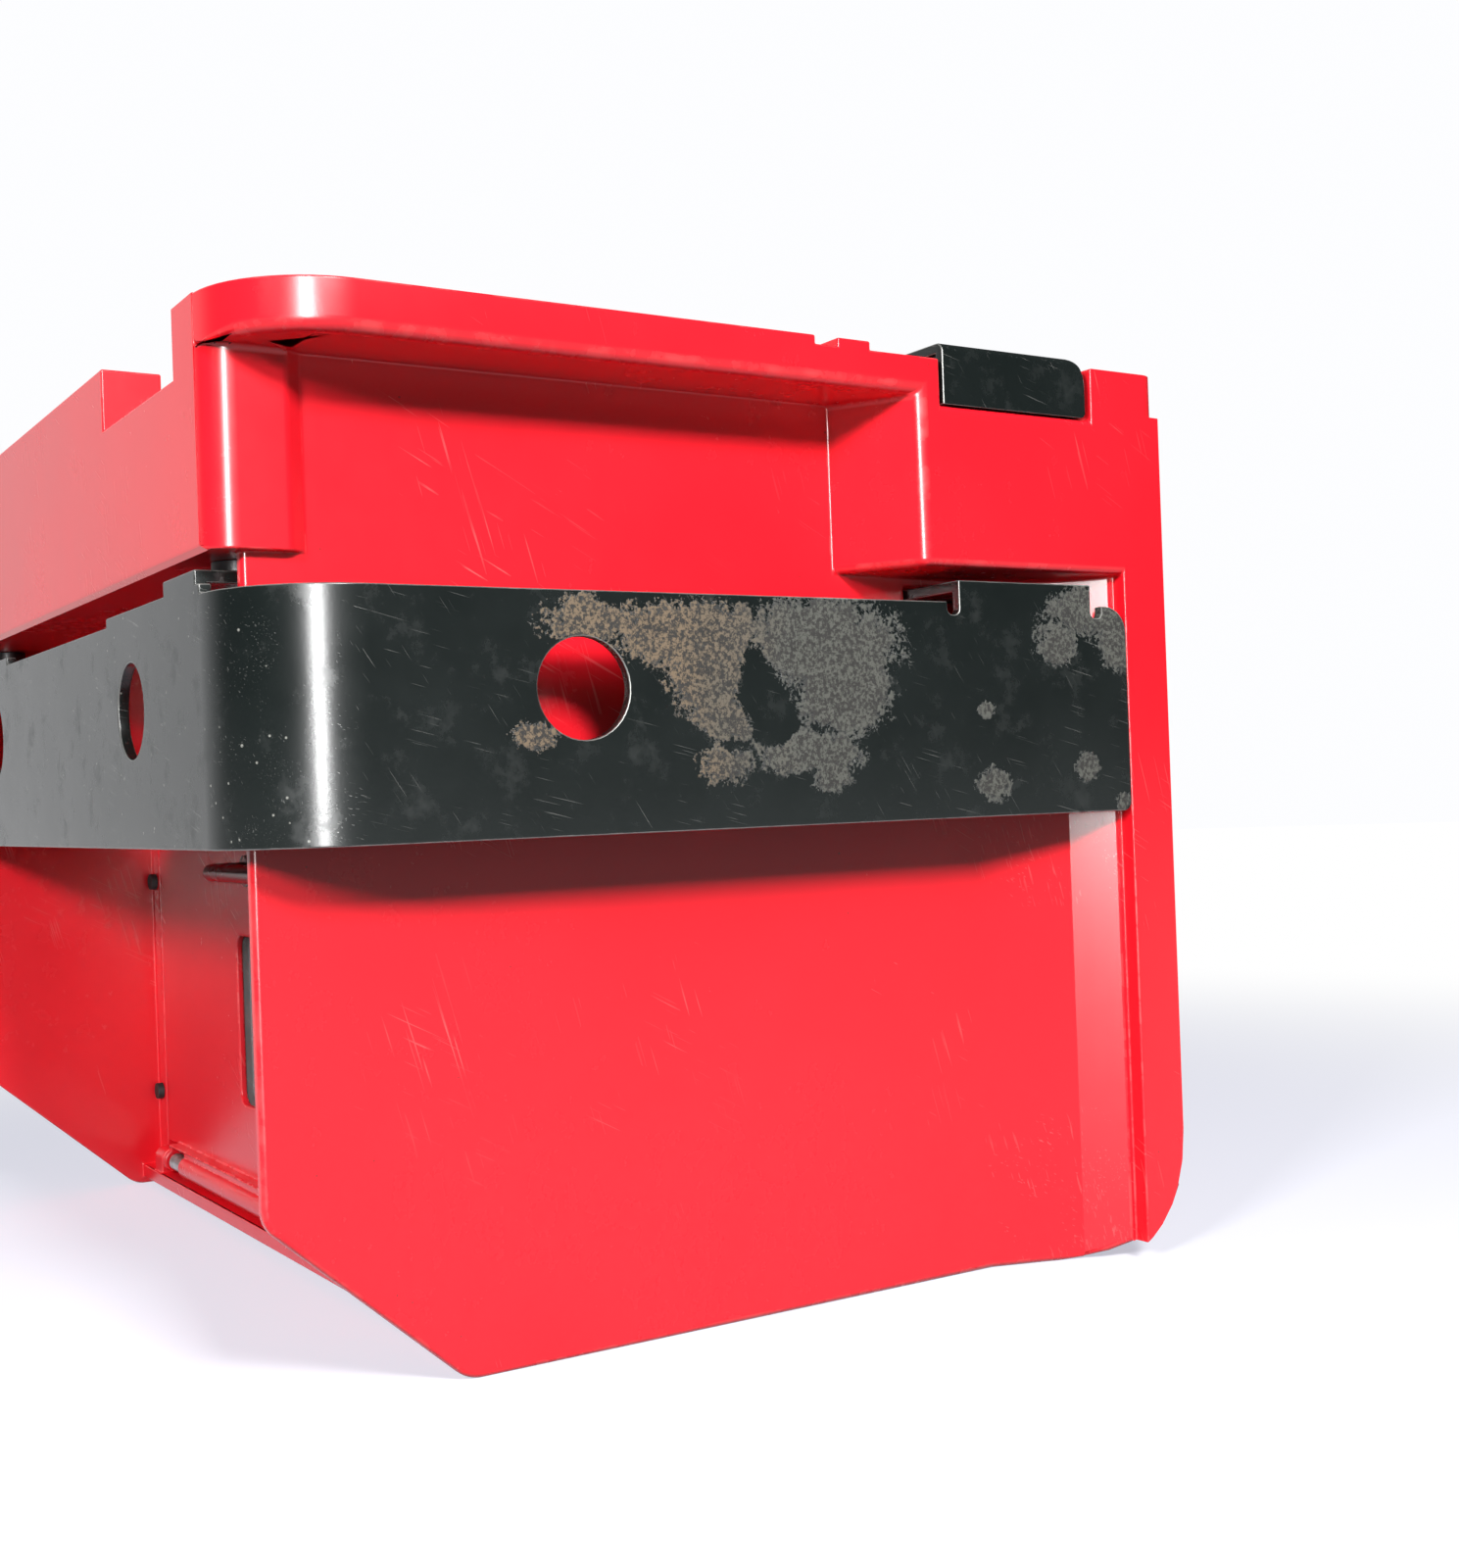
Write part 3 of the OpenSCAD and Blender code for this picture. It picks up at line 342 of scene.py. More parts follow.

# %% [markdown]
# The floor is a plain pale disc. Near the box it takes the soft shadow, and its glow there is
# half as bright and bluish, a painted pale shade round the box. Further out it glows as brightly as
# the sky, so that no horizon shows behind the box.


# %% Floor
def make_floor(finish, radius=8.0, corners=24):
    mesh = bmesh.new()
    bmesh.ops.create_circle(mesh, cap_ends=True, segments=corners, radius=radius)
    data = bpy.data.meshes.new("studio_floor")
    mesh.to_mesh(data)
    mesh.free()
    data.materials.append(finish)
    disc = bpy.data.objects.new("studio_floor", data)
    bpy.context.scene.collection.objects.link(disc)
    return disc


def pale_floor():
    f = Finish("pale_floor")
    flat = f.add("ShaderNodeVectorMath", {"operation": "MULTIPLY"}, {0: f.place, 1: (1, 1, 0)})
    away = f.add("ShaderNodeVectorMath", {"operation": "LENGTH"}, {0: flat}, out="Value")
    far = f.ramp(away, 0.45, 1.5)
    colour = f.blend(far, (0.42, 0.42, 0.44, 1), (0.0, 0.0, 0.0, 1))
    # The glow is dim and bluish near the box, a painted pale shade, and white further out.
    glow = f.blend(far, (0.50, 0.51, 0.58, 1), (1.0, 1.0, 1.0, 1))
    sockets = {"Specular IOR Level": 0.0, "Emission Color": glow, "Emission Strength": 1.0}
    return f.surface(colour, 0.9, **sockets)


floor = make_floor(pale_floor())
floor.visible_diffuse = False
print("floor has", len(floor.data.polygons), "face")

# %% [markdown]
# ### The red moulding
#
# The housing is moulded in a self-coloured glossy plastic. Up close it isn't one even red. There
# are slow changes of tone, faint upright lines, a few dark specks, pale rubs where things have
# dragged past, and edges that have gone slightly chalky. The sheen changes with them, which the eye
# notices more than the colour. `edge` is a value that the mesh will carry on its rounded edges.


# %% Red plastic
def red_plastic():
    f = Finish("red_plastic")
    tone = f.noise(0.16, 3.0)
    fine = f.noise(0.012, 4.0, 0.6)
    drawn = f.noise(0.006, 2.0, stretch=(1, 1, 0.02))
    rubs = f.scratches(0.05, 0.0012, 1.3, 0.66)
    rubs = rubs.or_more(f.scratches(0.035, 0.0009, 0.5, 0.68, (2, 0, 0)))
    rub_mask = rubs * f.ramp(f.noise(0.09, 2.0, shift=(5, 0, 0)), 0.5, 0.62)
    dots = f.specks(0.010, 0.02, 0.06)
    chalk = f.attribute("edge") * f.ramp(f.noise(0.014, 3.0, 0.6), 0.42, 0.66)
    light, deep = (0.86, 0.010, 0.022, 1), (0.78, 0.007, 0.018, 1)
    colour = f.blend(f.ramp(tone, 0.3, 0.7), deep, light)
    colour = f.blend(rub_mask * 0.22, colour, (0.95, 0.30, 0.28, 1))
    colour = f.blend(chalk * 0.16, colour, (0.98, 0.26, 0.24, 1))
    colour = f.blend(dots * 0.7, colour, (0.12, 0.01, 0.01, 1))
    roughness = 0.20 + tone * 0.06 + fine * 0.05 + drawn * 0.015 + rub_mask * 0.18 + chalk * 0.05
    relief = f.noise(0.0035, 2.0) * 0.2 + drawn * 0.02 + rubs * 0.2
    return f.surface(colour, roughness, relief=relief, height=0.03 * MM)


red = red_plastic()
print(red.name, "has", len(red.node_tree.nodes), "nodes")

# %% [markdown]
# ### Black paint over steel
#
# The band is the part that people chain things to, so it has had a hard life. Rust has lifted the
# paint round one hole in a large mottled patch of brown and grey, with smaller islands along the
# leg and at its end. A patch is a soft ellipse, given in a list, whose edge is broken up by noise.
# Inside it the colour goes from grey to brown in fine grains, and the surface turns rough.


# %% Where the rust lies
def rust_places():
    """Each patch on the right leg, measured from the front and the lower edge."""
    patches = [
        ((148, 87), (34, 14), 1.0), ((190, 82), (52, 20), 1.25), ((203, 66), (30, 26), 1.2),
        ((212, 48), (22, 16), 1.1), ((262, 80), (56, 26), 1.3), ((272, 58), (36, 26), 1.15),
        ((252, 32), (36, 14), 1.1), ((208, 27), (20, 12), 1.0), ((262, 22), (16, 12), 1.0),
        ((119, 41), (15, 9), 1.0), ((356, 15), (15, 11), 1.1), ((352, 50), (7, 5), 0.9),
        ((414, 22), (10, 9), 1.0), ((438, 3), (8, 7), 1.2), ((425, 96), (46, 16), 1.2),
        ((438, 84), (22, 20), 1.2), ((398, 82), (20, 14), 1.0),
    ]
    for (along, up), (half_length, half_height), weight in patches:
        centre = (side_x, front_y + along * MM, band_lo.z + up * MM)
        yield centre, (12 * MM, half_length * MM, half_height * MM), weight


def bare_places():
    """The dark islands that the paint still holds inside the large patch."""
    for (along, up), (half_length, half_height) in (((223, 60), (13, 22)), ((234, 42), (13, 10))):
        centre = (side_x, front_y + along * MM, band_lo.z + up * MM)
        yield centre, (12 * MM, half_length * MM, half_height * MM)


print(len(list(rust_places())), "patches of rust")

# %% [markdown]
# The paint finish takes those patches and islands as lists. Without any, it scatters a few patches
# of its own over the part, which serves the tie bar and the handle. Worn edges, fine scratches,
# pits and dust lie over the paint, and the rust lies over all of it.


# %% Black paint
def black_paint(name, patches, islands, spread):
    f = Finish(name)
    edge = f.attribute("edge")
    grain = f.noise(0.0016, 3.0, 0.65)
    blot = f.noise(0.009, 5.0, 0.66)
    wear = f.noise(0.05, 3.0, 0.6, shift=(4, 4, 4))
    cover = None
    for centre, radii, weight in patches:
        spot = f.near(centre, radii) * weight
        cover = spot if cover is None else cover.or_more(spot)
    if cover is None:
        cover = f.ramp(f.noise(0.07, 2.0, shift=(9, 2, 0)), 0.62, 0.8) * spread
    else:
        for centre, radii in islands:
            cover = cover - f.near(centre, radii) * 1.1
    ragged = (f.noise(0.024, 3.0, shift=(7, 7, 1)) - 0.5) * 0.8
    broken = cover + (blot - 0.5) * 0.95 + ragged + (grain - 0.5) * 1.2
    rust = f.ramp(broken, 0.26, 0.42) * f.ramp(cover, 0.0, 0.16)
    worn = f.ramp(edge * 0.75 + (blot - 0.5) * 1.1, 0.45, 0.62)
    lines = f.scratches(0.03, 0.0006, 0.25, 0.68)
    lines = lines.or_more(f.scratches(0.022, 0.0005, 1.0, 0.70, (1, 7, 0)))
    pits = f.specks(0.0042, 0.16, 0.16).or_more(f.specks(0.009, 0.1, 0.10, shift=(3, 1, 1)))
    dust = f.ramp(f.noise(0.02, 5.0, 0.7, shift=(1, 5, 2)), 0.52, 0.72)

    paint = f.blend(wear, (0.0022, 0.0046, 0.0042, 1), (0.0070, 0.0105, 0.0100, 1))
    paint = f.blend(dust * 0.14, paint, (0.050, 0.054, 0.052, 1))
    grit = f.ramp(grain, 0.44, 0.60)
    rear = f.ramp(f.axis("Y") + (wear - 0.5) * 0.08, front_y + 185 * MM, front_y + 245 * MM)
    brown = f.blend(rear, (0.150, 0.105, 0.062, 1), (0.072, 0.074, 0.062, 1))
    crust = f.blend(grit, (0.012, 0.011, 0.009, 1), brown)
    metal = (0.36, 0.36, 0.34, 1)
    colour = f.blend(rust, paint, crust)
    colour = f.blend(worn * 0.5, colour, metal)
    colour = f.blend(lines * 0.25, colour, metal)
    colour = f.blend(pits * 0.55, colour, (0.40, 0.40, 0.36, 1))
    bare = worn.or_more(lines * 0.4)
    roughness = 0.20 + wear * 0.10 + dust * 0.12 + rust * 0.62 + worn * 0.1
    relief = f.noise(0.002, 2.0) * 0.12 + rust * (0.35 + grain * 1.1) - lines * 0.12 - pits * 0.2
    return f.surface(colour, roughness.at_most(0.92), bare * 0.5, relief, 0.16 * MM)


black_leg = black_paint("black_steel", list(rust_places()), list(bare_places()), 0)
black_plain = black_paint("black_steel_plain", [], [], 0.9)
print(black_leg.name, "has", len(black_leg.node_tree.nodes), "nodes")

# %% [markdown]
# ### Metals, dark plastic, rubber and the clear sheet
#
# The small parts use simpler finishes, but none is a flat colour. Zinc plate is dull and mottled,
# bright plate has fine brushing, brass tarnishes in blotches, dark plastic has a pebbled grain and
# the clear sheet carries light scratches and a haze of dust.


# %% Plain metals
def plain_metal(name, light, dull, roughness, brushed, stain):
    f = Finish(name)
    blot = f.noise(0.012, 3.0, 0.6)
    lines = f.noise(0.0012, 2.0, stretch=brushed)
    stained = f.ramp(f.noise(0.02, 4.0, 0.65, shift=(3, 0, 6)), 0.60, 0.74)
    rubbed = f.attribute("edge")
    colour = f.blend(f.ramp(blot, 0.35, 0.65), dull, light)
    colour = f.blend(stained * 0.6, colour, stain)
    colour = f.blend(rubbed * 0.5, colour, light)
    sheen = roughness + blot * 0.14 + lines * 0.08 + stained * 0.3 - rubbed * 0.08
    relief = lines * 0.5 + stained * 0.6
    return f.surface(colour, sheen, 1 - stained * 0.6, relief, 0.02 * MM)


zinc, dull_zinc, rust_stain = (0.62, 0.63, 0.62, 1), (0.42, 0.43, 0.42, 1), (0.20, 0.12, 0.06, 1)
chrome, dull_chrome, chrome_stain = (0.86, 0.86, 0.87, 1), (0.7, 0.7, 0.72, 1), (0.3, 0.26, 0.2, 1)
yellow, dull_yellow, tarnish = (0.84, 0.62, 0.28, 1), (0.55, 0.37, 0.15, 1), (0.16, 0.10, 0.04, 1)
plated = plain_metal("plated_steel", zinc, dull_zinc, 0.30, (1, 1, 1), rust_stain)
bright = plain_metal("bright_metal", chrome, dull_chrome, 0.14, (0.04, 1, 1), chrome_stain)
brass = plain_metal("brass", yellow, dull_yellow, 0.20, (1, 0.05, 1), tarnish)
print("metals:", plated.name, bright.name, brass.name)

# %% [markdown]
# Dark plastic and rubber share one finish with different grain and sheen. The clear sheet is made
# nearly see-through by its Alpha, and its haze and scratches are less so.


# %% Dark plastic, rubber and the clear sheet
def dark_plastic(name, colour, pale, roughness, grain):
    f = Finish(name)
    pebble = f.noise(grain, 3.0, 0.6)
    dust = f.ramp(f.noise(0.03, 5.0, 0.7), 0.5, 0.75)
    rubbed = f.attribute("edge")
    tint = f.blend(dust * 0.35 + rubbed * 0.25, colour, pale)
    return f.surface(tint, roughness + dust * 0.2 - rubbed * 0.1, 0.0, pebble, 0.06 * MM)


def clear_sheet():
    f = Finish("clear_plastic")
    haze = f.ramp(f.noise(0.03, 5.0, 0.7), 0.45, 0.8)
    lines = f.scratches(0.04, 0.0006, 0.4).or_more(f.scratches(0.03, 0.0005, 1.3, 0.69))
    cover = 0.16 + haze * 0.12 + lines * 0.25
    tint = f.blend(haze, (0.80, 0.86, 0.87, 1), (0.72, 0.72, 0.70, 1))
    return f.surface(tint, 0.06 + haze * 0.2, 0.0, lines, 0.02 * MM, Alpha=cover)


near_black, soot = (0.014, 0.014, 0.016, 1), (0.010, 0.010, 0.010, 1)
pale_rub, pale_dust = (0.10, 0.10, 0.10, 1), (0.08, 0.08, 0.075, 1)
black_moulding = dark_plastic("dark_plastic", near_black, pale_rub, 0.38, 0.0012)
rubber = dark_plastic("rubber", soot, pale_dust, 0.68, 0.0006)
clear = clear_sheet()
print("last finishes:", black_moulding.name, rubber.name, clear.name)

# %% [markdown]
# ## Softening the edges
#
# No moulding or sheared bar has a perfectly sharp edge, and the thin line of light along a rounded
# edge is what makes it look solid. The parts arrive as loose triangles, so each is copied, its
# doubles are merged, its flat faces joined and the wide ones cut again into well-shaped triangles.
# Then a Bevel modifier rounds the edges. The width is given edge by edge as a weight, so a moulded
# rim gets a generous radius and a trimmed edge a small one, and each weight is held to what the
# neighbouring edges leave room for.
#
# Where edges meet at awkward angles the rounding can still throw a point clear of the part. Then
# the radii near it are lessened and the part is rounded again, and any last stray point is pulled
# back.


# %% Copy a part and choose its radii
def merged_copy(node):
    mesh = bmesh.new()
    mesh.from_mesh(frame["nodes"][node].data)
    bmesh.ops.remove_doubles(mesh, verts=mesh.verts, dist=0.02 * MM)
    bmesh.ops.dissolve_degenerate(mesh, edges=mesh.edges, dist=0.01 * MM)
    limit = math.radians(0.8)
    bmesh.ops.dissolve_limit(mesh, angle_limit=limit, verts=mesh.verts, edges=mesh.edges)
    wide = [face for face in mesh.faces if len(face.verts) > 4]
    bmesh.ops.triangulate(mesh, faces=wide, quad_method="BEAUTY", ngon_method="BEAUTY")
    return mesh


def room_at(edge):
    """The widest rounding that the neighbouring edges leave room for."""
    room = 1.0
    start, length = edge.verts[0].co, edge.calc_length()
    along = (edge.verts[1].co - start).normalized()
    for other in {other for face in edge.link_faces for other in face.edges} - {edge}:
        ends = [vert.co - start for vert in other.verts]
        beside = [end.dot(along) for end in ends]
        clear = [(end - along * step).length for end, step in zip(ends, beside)]
        if set(other.verts) & set(edge.verts):
            if max(clear) > 0.35 * other.calc_length():
                room = min(room, 0.45 * max(clear))
        elif max(beside) > 0 and min(beside) < length:
            room = min(room, 0.45 * min(clear))
    return room


def taper(mesh, radii):
    """Lets the radius change only gradually from one edge to the next."""
    for _ in range(12):
        for vert in mesh.verts:
            joined = [edge for edge in vert.link_edges if edge in radii]
            least = min((radii[edge] for edge in joined), default=0.0)
            for edge in joined:
                most = max(1.6 * least, least + 0.6 * edge.calc_length())
                radii[edge] = min(radii[edge], most)


def choose_radii(mesh, radius, chooser):
    """The radius of each sharp edge: the chooser's, or one for all, held to the room there."""
    radii = {}
    for edge in mesh.edges:
        if len(edge.link_faces) != 2:
            continue
        angle = edge.calc_face_angle_signed(0.0)
        middle = (edge.verts[0].co + edge.verts[1].co) / 2
        sharp = abs(angle) > math.radians(28)
        wanted = chooser(middle, angle, edge) if chooser and sharp else radius * sharp
        if wanted > 0:
            radii[edge] = min(wanted, room_at(edge))
    taper(mesh, radii)
    return radii


# %% [markdown]
# The Bevel modifier puts its new faces in material 1, which tells us afterwards which faces lie on
# a rounded edge. Points that touch only such faces get `edge` = 1 where the edge stands out, so the
# finishes can wear them. Weighted normals then keep the large faces flat.


# %% Round and finish a part
def mark_edges(data):
    """Notes which points lie on an outer rounded edge, and makes every face smooth."""
    mesh = bmesh.new()
    mesh.from_mesh(data)
    layer = mesh.verts.layers.float.get("edge") or mesh.verts.layers.float.new("edge")
    for vert in mesh.verts:
        on_strip = vert.link_faces and all(face.material_index == 1 for face in vert.link_faces)
        away = [(vert.co - edge.other_vert(vert).co).normalized() for edge in vert.link_edges]
        out = sum(direction.dot(vert.normal) for direction in away)
        vert[layer] = 1.0 if on_strip and out > 0 else 0.0
    for face in mesh.faces:
        face.material_index = 0
        face.smooth = True
    mesh.to_mesh(data)
    mesh.free()


def bake(piece):
    """The piece with its modifiers applied, as one plain mesh."""
    graph = bpy.context.evaluated_depsgraph_get()
    data = bpy.data.meshes.new_from_object(piece.evaluated_get(graph), depsgraph=graph)
    piece.modifiers.clear()
    piece.data = data
    data.name = piece.name
    return piece


def place_piece(name, data, finish, body, nodes):
    piece = bpy.data.objects.new(name, data)
    bpy.context.scene.collection.objects.link(piece)
    data.materials.clear()
    data.materials.append(finish)
    for node in nodes:
        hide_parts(node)
    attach(piece, body)
    return piece


def rounded(mesh, radii, segments):
    """A draft object of the mesh with its edges rounded."""
    layer = mesh.edges.layers.float.get("bevel_weight_edge")
    widest = max(radii.values(), default=MM)
    for edge in mesh.edges:
        edge[layer] = radii.get(edge, 0.0) / widest
    data = bpy.data.meshes.new("draft")
    mesh.to_mesh(data)
    data.materials.clear()
    for _ in range(2):
        data.materials.append(None)
    draft = bpy.data.objects.new("draft", data)
    bpy.context.scene.collection.objects.link(draft)
    bevel = draft.modifiers.new("round", "BEVEL")
    bevel.limit_method = "WEIGHT"
    bevel.width = widest
    bevel.segments = segments
    bevel.material = 1
    bevel.use_clamp_overlap = False
    bevel.loop_slide = False
    return bake(draft)


def calm(radii, strays):
    """Makes the rounding smaller near each stray point."""
    for edge, value in list(radii.items()):
        for point, distance in strays:
            near = min((vert.co - point).length for vert in edge.verts)
            if near < 1.6 * distance + 1.5 * MM:
                radii[edge] = 0.3 * value if value > 0.3 * MM else 0.0


def soften(node, finish, radius, segments=3, chooser=None):
    mesh = merged_copy(node)
    mesh.edges.layers.float.new("bevel_weight_edge")
    tree = BVHTree.FromBMesh(mesh)
    radii = choose_radii(mesh, radius, chooser)
    for attempt in range(4):
        draft = rounded(mesh, radii, segments)
        reach = 0.8 * MM + 0.45 * max(radii.values(), default=0.0)
        found = [(vert, tree.find_nearest(vert.co)) for vert in draft.data.vertices]
        strays = [(vert.co.copy(), hit[3]) for vert, hit in found if hit[3] > reach]
        if not strays or attempt == 3:
            break
        calm(radii, strays)
        taper(mesh, radii)
        bpy.data.objects.remove(draft)
    low = [min(vert.co[i] for vert in mesh.verts) for i in range(3)]
    high = [max(vert.co[i] for vert in mesh.verts) for i in range(3)]
    for vert, hit in found:
        place = hit[0] if hit[3] > reach else vert.co
        vert.co = [min(max(place[i], low[i]), high[i]) for i in range(3)]
    mesh.free()
    mark_edges(draft.data)
    draft.data.set_sharp_from_angle(angle=math.radians(40))
    even = draft.modifiers.new("even", "WEIGHTED_NORMAL")
    even.keep_sharp = True
    even.mode = "FACE_AREA_WITH_ANGLE"
    data = bake(draft).data
    bpy.data.objects.remove(draft)
    body = frame["nodes"][node]["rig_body"]
    return place_piece(node + "_finished", data, finish, body, [node])


print("edge tools ready")

# %% [markdown]
# ## The housing
#
# The housing is one moulding. Its rim has a full round along the lower edge, its posts and rear
# blocks are softer still, the side walls flare out to the rear flange in a gentle curve, and only
# the edges trimmed after moulding are crisp. The chooser below says which edge is which, from where
# it lies.

# %% Housing
def housing_radius(middle, angle, edge):
    x, y, z = abs(middle.x), middle.y, middle.z
    level = abs(edge.verts[0].co.z - edge.verts[1].co.z) < 0.1 * MM
    outside = x > wall_x + 3 * MM or y < front_y + 20 * MM
    if level and abs(z - rim_z) < MM and outside and y < rear_hi.y - 30 * MM:
        return 6.0 * MM if angle > 0 else 3.0 * MM
    if x > wall_x + 2 * MM and y > front_y + 290 * MM and y < rear_hi.y - 30 * MM and z < rim_z:
        return 4.0 * MM if angle > 0 else 2.5 * MM
    if abs(x - wall_x) < 1.0 * MM and z < header_z and angle > 0 and y < rear_hi.y - 40 * MM:
        return 2.4 * MM
    return 1.0 * MM


housing = soften("housing", red, 1.0 * MM, 4, housing_radius)
print("housing:", len(housing.data.polygons), "faces")

# %% [markdown]
# The other red parts are sheets and trays of the same plastic. One radius serves each of them.


# %% Red panels
panel_radii = {"rear_panel": 0.9, "floor_panel": 0.9, "coin_deck": 1.2, "lid": 1.3, "door": 1.1}
for node, radius in panel_radii.items():
    panel = soften(node, red, radius * MM)
    print(node, len(panel.data.polygons), "faces")

# %% [markdown]
# ## The band, the tie bar and the handle

# %% Black steel
band = soften("steel_band", black_leg, 0.8 * MM)
for node, radius in {"top_tie_bar": 0.9, "door_handle": 0.8}.items():
    soften(node, black_plain, radius * MM)
print("band:", len(band.data.polygons), "faces")

# %% [markdown]
# ## The small parts
#
# Each of these keeps the shape it came with and only needs its edges eased and its own finish. Only
# the edges that stand out are eased, since an inside corner may be where another part seats.

# %% Plated, bright and brass parts
def outer_edges(middle, angle, edge):
    return 0.35 * MM if angle > 0 else 0.0


small_parts = {
    "plated_steel": (
        plated,
        ["deck_hooks", "mech_frame", "latch_rod", "cash_box_rails", "lid_hinge_leaf", "door_strike"]
        + ["paper_shelf"],
    ),
    "bright_metal": (
        bright,
        ["coin_slot_plate", "coin_chute", "lever_pin", "button_bezel", "return_button"]
        + ["lid_hinge_pin", "lid_lock_body", "door_hinge_pin"],
    ),
    "brass": (brass, ["coin_lever", "lid_lock_plug"]),
    "dark_plastic": (
        black_moulding,
        ["band_spacers", "bar_packers", "cash_box", "window_retainer"],
    ),
    "rubber": (rubber, ["door_bumpers", "shelf_feet"]),
    "clear_plastic": (clear, ["door_window"]),
}
for slot, (finish, nodes) in small_parts.items():
    for node in nodes:
        soften(node, finish, 0.35 * MM, 2, outer_edges)
    print(slot, len(nodes), "parts")

# %% [markdown]
# ## Screws and springs
#
# The same screw appears dozens of times, so it is built once, by Geometry Nodes. The points of a
# small mesh say where the screws sit, and the tree sets one on each point. The sizes are inputs of
# the tree, so one tree serves every kind. These two functions find the places: the model holds
# each row of screws as one part, and `solids_of` gives the box round each loose piece of it.


# %% Where the repeated pieces sit
def solids_of(node):
    mesh = merged_copy(node)
    left = set(mesh.verts)
    boxes = []
    while left:
        waiting = [left.pop()]
        found = list(waiting)
        while waiting:
            vert = waiting.pop()
            for edge in vert.link_edges:
                other = edge.other_vert(vert)
                if other in left:
                    left.remove(other)
                    found.append(other)
                    waiting.append(other)
        low = Vector([min(vert.co[i] for vert in found) for i in range(3)])
        high = Vector([max(vert.co[i] for vert in found) for i in range(3)])
        boxes.append((low, high))
    mesh.free()
    return sorted(boxes, key=lambda box: tuple(round(value, 5) for value in box[0]))


def point_piece(name, points):
    data = bpy.data.meshes.new(name)
    data.from_pydata(points, [], [])
    piece = bpy.data.objects.new(name, data)
    bpy.context.scene.collection.objects.link(piece)
    return piece


print("window screws:", len(solids_of("window_screws")))


# %% [markdown]
# A tree starts with its inputs and ends by making its instances real and giving them a material.
# `Steps` holds those two ends and adds the nodes between them.


# %% Tree builder
class Steps:
    """A Geometry Nodes tree under construction."""

    def __init__(self, name, sizes):
        self.tree = bpy.data.node_groups.new(name, "GeometryNodeTree")
        sockets = self.tree.interface
        sockets.new_socket("Geometry", in_out="INPUT", socket_type="NodeSocketGeometry")
        sockets.new_socket("Geometry", in_out="OUTPUT", socket_type="NodeSocketGeometry")
        for size in sizes:
            sockets.new_socket(size, in_out="INPUT", socket_type="NodeSocketFloat")
        sockets.new_socket("Turn", in_out="INPUT", socket_type="NodeSocketVector")
        sockets.new_socket("Finish", in_out="INPUT", socket_type="NodeSocketMaterial")
        self.given = self.tree.nodes.new("NodeGroupInput").outputs

    def add(self, kind, inputs=None, settings=None, out=0):
        node = self.tree.nodes.new(kind)
        for key, value in (settings or {}).items():
            setattr(node, key, value)
        for key, value in (inputs or {}).items():
            if isinstance(value, bpy.types.NodeSocket):
                self.tree.links.new(value, node.inputs[key])
            else:
                node.inputs[key].default_value = value
        return node.outputs[out] if node.outputs else None

    def times(self, value, factor):
        return self.add("ShaderNodeMath", {0: value, 1: factor}, {"operation": "MULTIPLY"})

    def vector(self, x=0.0, y=0.0, z=0.0):
        return self.add("ShaderNodeCombineXYZ", {0: x, 1: y, 2: z})

    def moved(self, geometry, place, scale=(1, 1, 1)):
        inputs = {"Geometry": geometry, "Translation": place, "Scale": scale}
        return self.add("GeometryNodeTransform", inputs)

    def combine(self, first, second, operation):
        inputs = {1: first} if operation == "UNION" else {0: first}
        result = self.add("GeometryNodeMeshBoolean", inputs, {"operation": operation})
        self.tree.links.new(second, result.node.inputs[1])
        return result

    def end(self, instance, spin):
        turn = self.add("FunctionNodeEulerToRotation", {0: self.given["Turn"]})
        inputs = {"Points": self.given["Geometry"], "Instance": instance, "Rotation": turn}
        placed = self.add("GeometryNodeInstanceOnPoints", inputs)
        limits = {2: 0.0, 3: spin, "Seed": 4}
        angle = self.add("FunctionNodeRandomValue", limits, {"data_type": "FLOAT"}, out=1)
        own = self.add("FunctionNodeEulerToRotation", {0: self.vector(z=angle)})
        turned = self.add("GeometryNodeRotateInstances", {"Instances": placed, "Rotation": own})
        real = self.add("GeometryNodeRealizeInstances", {"Geometry": turned})
        smooth = self.add("GeometryNodeSetShadeSmooth", {"Geometry": real})
        finish = {"Geometry": smooth, "Material": self.given["Finish"]}
        final = self.add("GeometryNodeSetMaterial", finish)
        self.add("NodeGroupOutput", {"Geometry": final})
        return self.tree


def grow(node, tree, values, finish, points):
    """Runs a tree on points and puts the result in place of a part."""
    draft = point_piece(node + "_draft", points)
    modifier = draft.modifiers.new(tree.name, "NODES")
    modifier.node_group = tree
    for item in tree.interface.items_tree:
        if item.in_out == "INPUT" and item.name in values:
            modifier[item.identifier] = values[item.name]
        elif item.in_out == "INPUT" and item.name == "Finish":
            modifier[item.identifier] = finish
    data = bake(draft).data
    data.set_sharp_from_angle(angle=math.radians(35))
    bpy.data.objects.remove(draft)
    body = frame["nodes"][node]["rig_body"]
    return place_piece(node + "_finished", data, finish, body, [node])


print("tree builder ready")


# %% [markdown]
# The screw has a low domed head with a six-sided socket. The dome is the top of a flattened ball
# that a block cuts level, the shank is joined under it, and a six-sided bar cuts the socket. Each
# screw is turned by its own amount, since nobody stops a row of screws at the same angle.


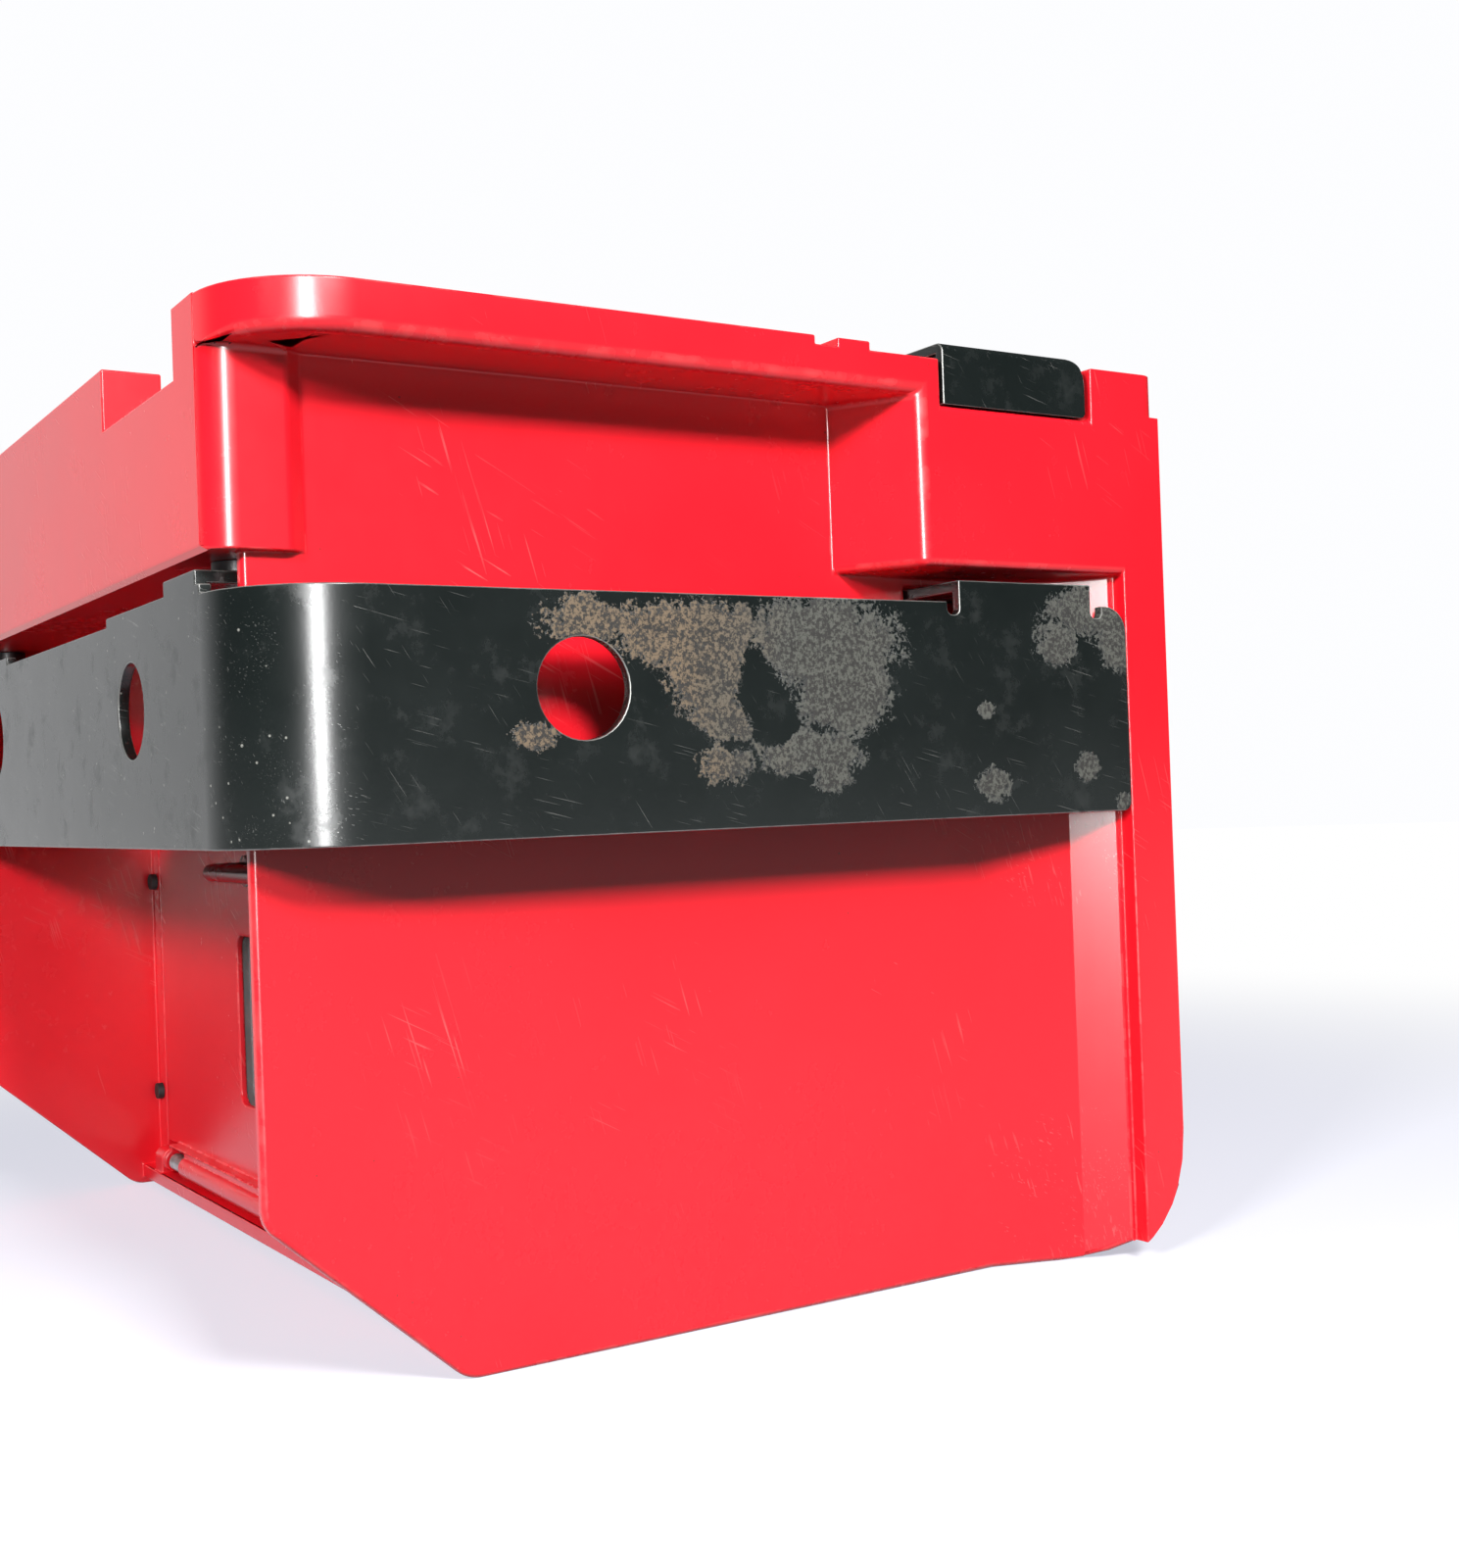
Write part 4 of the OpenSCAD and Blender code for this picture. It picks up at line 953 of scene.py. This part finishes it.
# %% Screw tree
def screw_tree():
    s = Steps("screw", ["Shank radius", "Head radius", "Head height", "Length"])
    shank, head, tall, length = [s.given[i] for i in range(1, 5)]
    ball = s.add("GeometryNodeMeshUVSphere", {"Segments": 32, "Rings": 16, "Radius": 1.0})
    wide = s.times(head, 1.02)
    ball_size = s.vector(wide, wide, s.times(tall, 1.25))
    dome = s.moved(ball, s.vector(z=s.times(tall, -0.25)), ball_size)
    side = s.times(head, 3.0)
    block = s.add("GeometryNodeMeshCube", {"Size": s.vector(side, side, s.times(tall, 2.0))})
    dome = s.combine(dome, s.moved(block, s.vector(z=s.times(tall, -1.0))), "DIFFERENCE")
    overlap = s.times(tall, 0.3)
    whole = s.add("ShaderNodeMath", {0: length, 1: overlap}, {"operation": "ADD"})
    pin = s.add("GeometryNodeMeshCylinder", {"Vertices": 24, "Radius": shank, "Depth": whole})
    drop = s.add("ShaderNodeMath", {0: overlap, 1: s.times(whole, 0.5)}, {"operation": "SUBTRACT"})
    body = s.combine(dome, s.moved(pin, s.vector(z=drop)), "UNION")
    key_sizes = {"Vertices": 6, "Radius": s.times(head, 0.42), "Depth": s.times(tall, 1.2)}
    key_bar = s.add("GeometryNodeMeshCylinder", key_sizes)
    body = s.combine(body, s.moved(key_bar, s.vector(z=s.times(tall, 1.15))), "DIFFERENCE")
    return s.end(body, math.radians(60))


screws = screw_tree()
print("screw tree:", len(screws.nodes), "nodes")

# %% [markdown]
# Each row of screws is given by its shank and head, and by the way its heads face. The length and
# the places come from the parts themselves.

# %% Screws
upward, downward, rearward = (0, 0, 0), (math.pi, 0, 0), (-math.pi / 2, 0, 0)
screw_rows = {
    "rear_screws": (2.0, 4.5, 3.0, rearward),
    "floor_screws": (2.0, 4.2, 2.6, downward),
    "band_screws": (3.0, 6.0, 4.0, downward),
    "bar_screws": (3.0, 6.0, 3.0, downward),
    "deck_screws": (2.0, 4.2, 2.5, upward),
    "hinge_screws": (2.0, 4.0, 2.4, downward),
    "window_screws": (1.5, 3.0, 2.0, rearward),
    "handle_screws": (1.95, 4.0, 2.2, rearward),
}
for node, (shank, head, tall, turn) in screw_rows.items():
    axis = 1 if turn == rearward else 2
    points = []
    for low, high in solids_of(node):
        point = (low + high) / 2
        outer = low[axis] if turn == downward else high[axis]
        point[axis] = outer + tall * MM if turn == downward else outer - tall * MM
        points.append(point)
        length = high[axis] - low[axis] - tall * MM
    sizes = {"Shank radius": shank * MM, "Head radius": head * MM, "Head height": tall * MM}
    values = {**sizes, "Length": length, "Turn": turn}
    grow(node, screws, values, plated, points)
    print(node, len(points))


# %% [markdown]
# A spring is a spiral line with a round wire swept along it. The door springs also have a straight
# leg that reaches down to the floor of their pocket.


# %% Spring tree
def spring_tree():
    s = Steps("spring", ["Coil radius", "Wire radius", "Height", "Turns", "Leg"])
    coil, wire, height, turns, leg = [s.given[i] for i in range(1, 6)]
    radii = {"Start Radius": coil, "End Radius": coil, "Height": height, "Rotations": turns}
    line = s.add("GeometryNodeCurveSpiral", {"Resolution": 40, **radii})
    foot = s.vector(coil, s.times(leg, -1.0), 0.0)
    ends = {"Start": s.vector(coil, 0.0, 0.0), "End": foot}
    straight = s.add("GeometryNodeCurvePrimitiveLine", ends)
    profile = s.add("GeometryNodeCurvePrimitiveCircle", {"Resolution": 12, "Radius": wire})
    inputs = {"Profile Curve": profile, "Fill Caps": True}
    tube = s.add("GeometryNodeCurveToMesh", {"Curve": line, **inputs})
    stem = s.add("GeometryNodeCurveToMesh", {"Curve": straight, **inputs})
    both = s.add("GeometryNodeJoinGeometry", {0: tube})
    s.tree.links.new(stem, both.node.inputs[0])
    return s.end(both, 0.0)


springs = spring_tree()
print("spring tree:", len(springs.nodes), "nodes")

# %% Springs
along_x = (math.pi / 2, 0, math.pi / 2)
spring_rows = {
    "latch_spring": (1.2, 2.5, upward),
    "button_spring": (1.4, 12.0, upward),
    "door_springs": (2.0, 10.0, along_x),
}
for node, (wire, turns, turn) in spring_rows.items():
    axis = 0 if turn == along_x else 2
    points = []
    for low, high in solids_of(node):
        radius = (high.y - low.y) / 2 - wire * MM / 2
        point = (low + high) / 2
        point.z = high.z - radius - wire * MM / 2
        point[axis] = low[axis] + wire * MM / 2
        points.append(point)
        height = high[axis] - low[axis] - wire * MM
        leg = point.z - low.z - wire * MM / 2 if axis == 0 else wire * MM / 4
    sizes = {"Coil radius": radius, "Wire radius": wire * MM / 2, "Height": height, "Leg": leg}
    values = {**sizes, "Turns": turns, "Turn": turn}
    grow(node, springs, values, plated, points)
    print(node, len(points), "coil radius", round(radius / MM, 2))
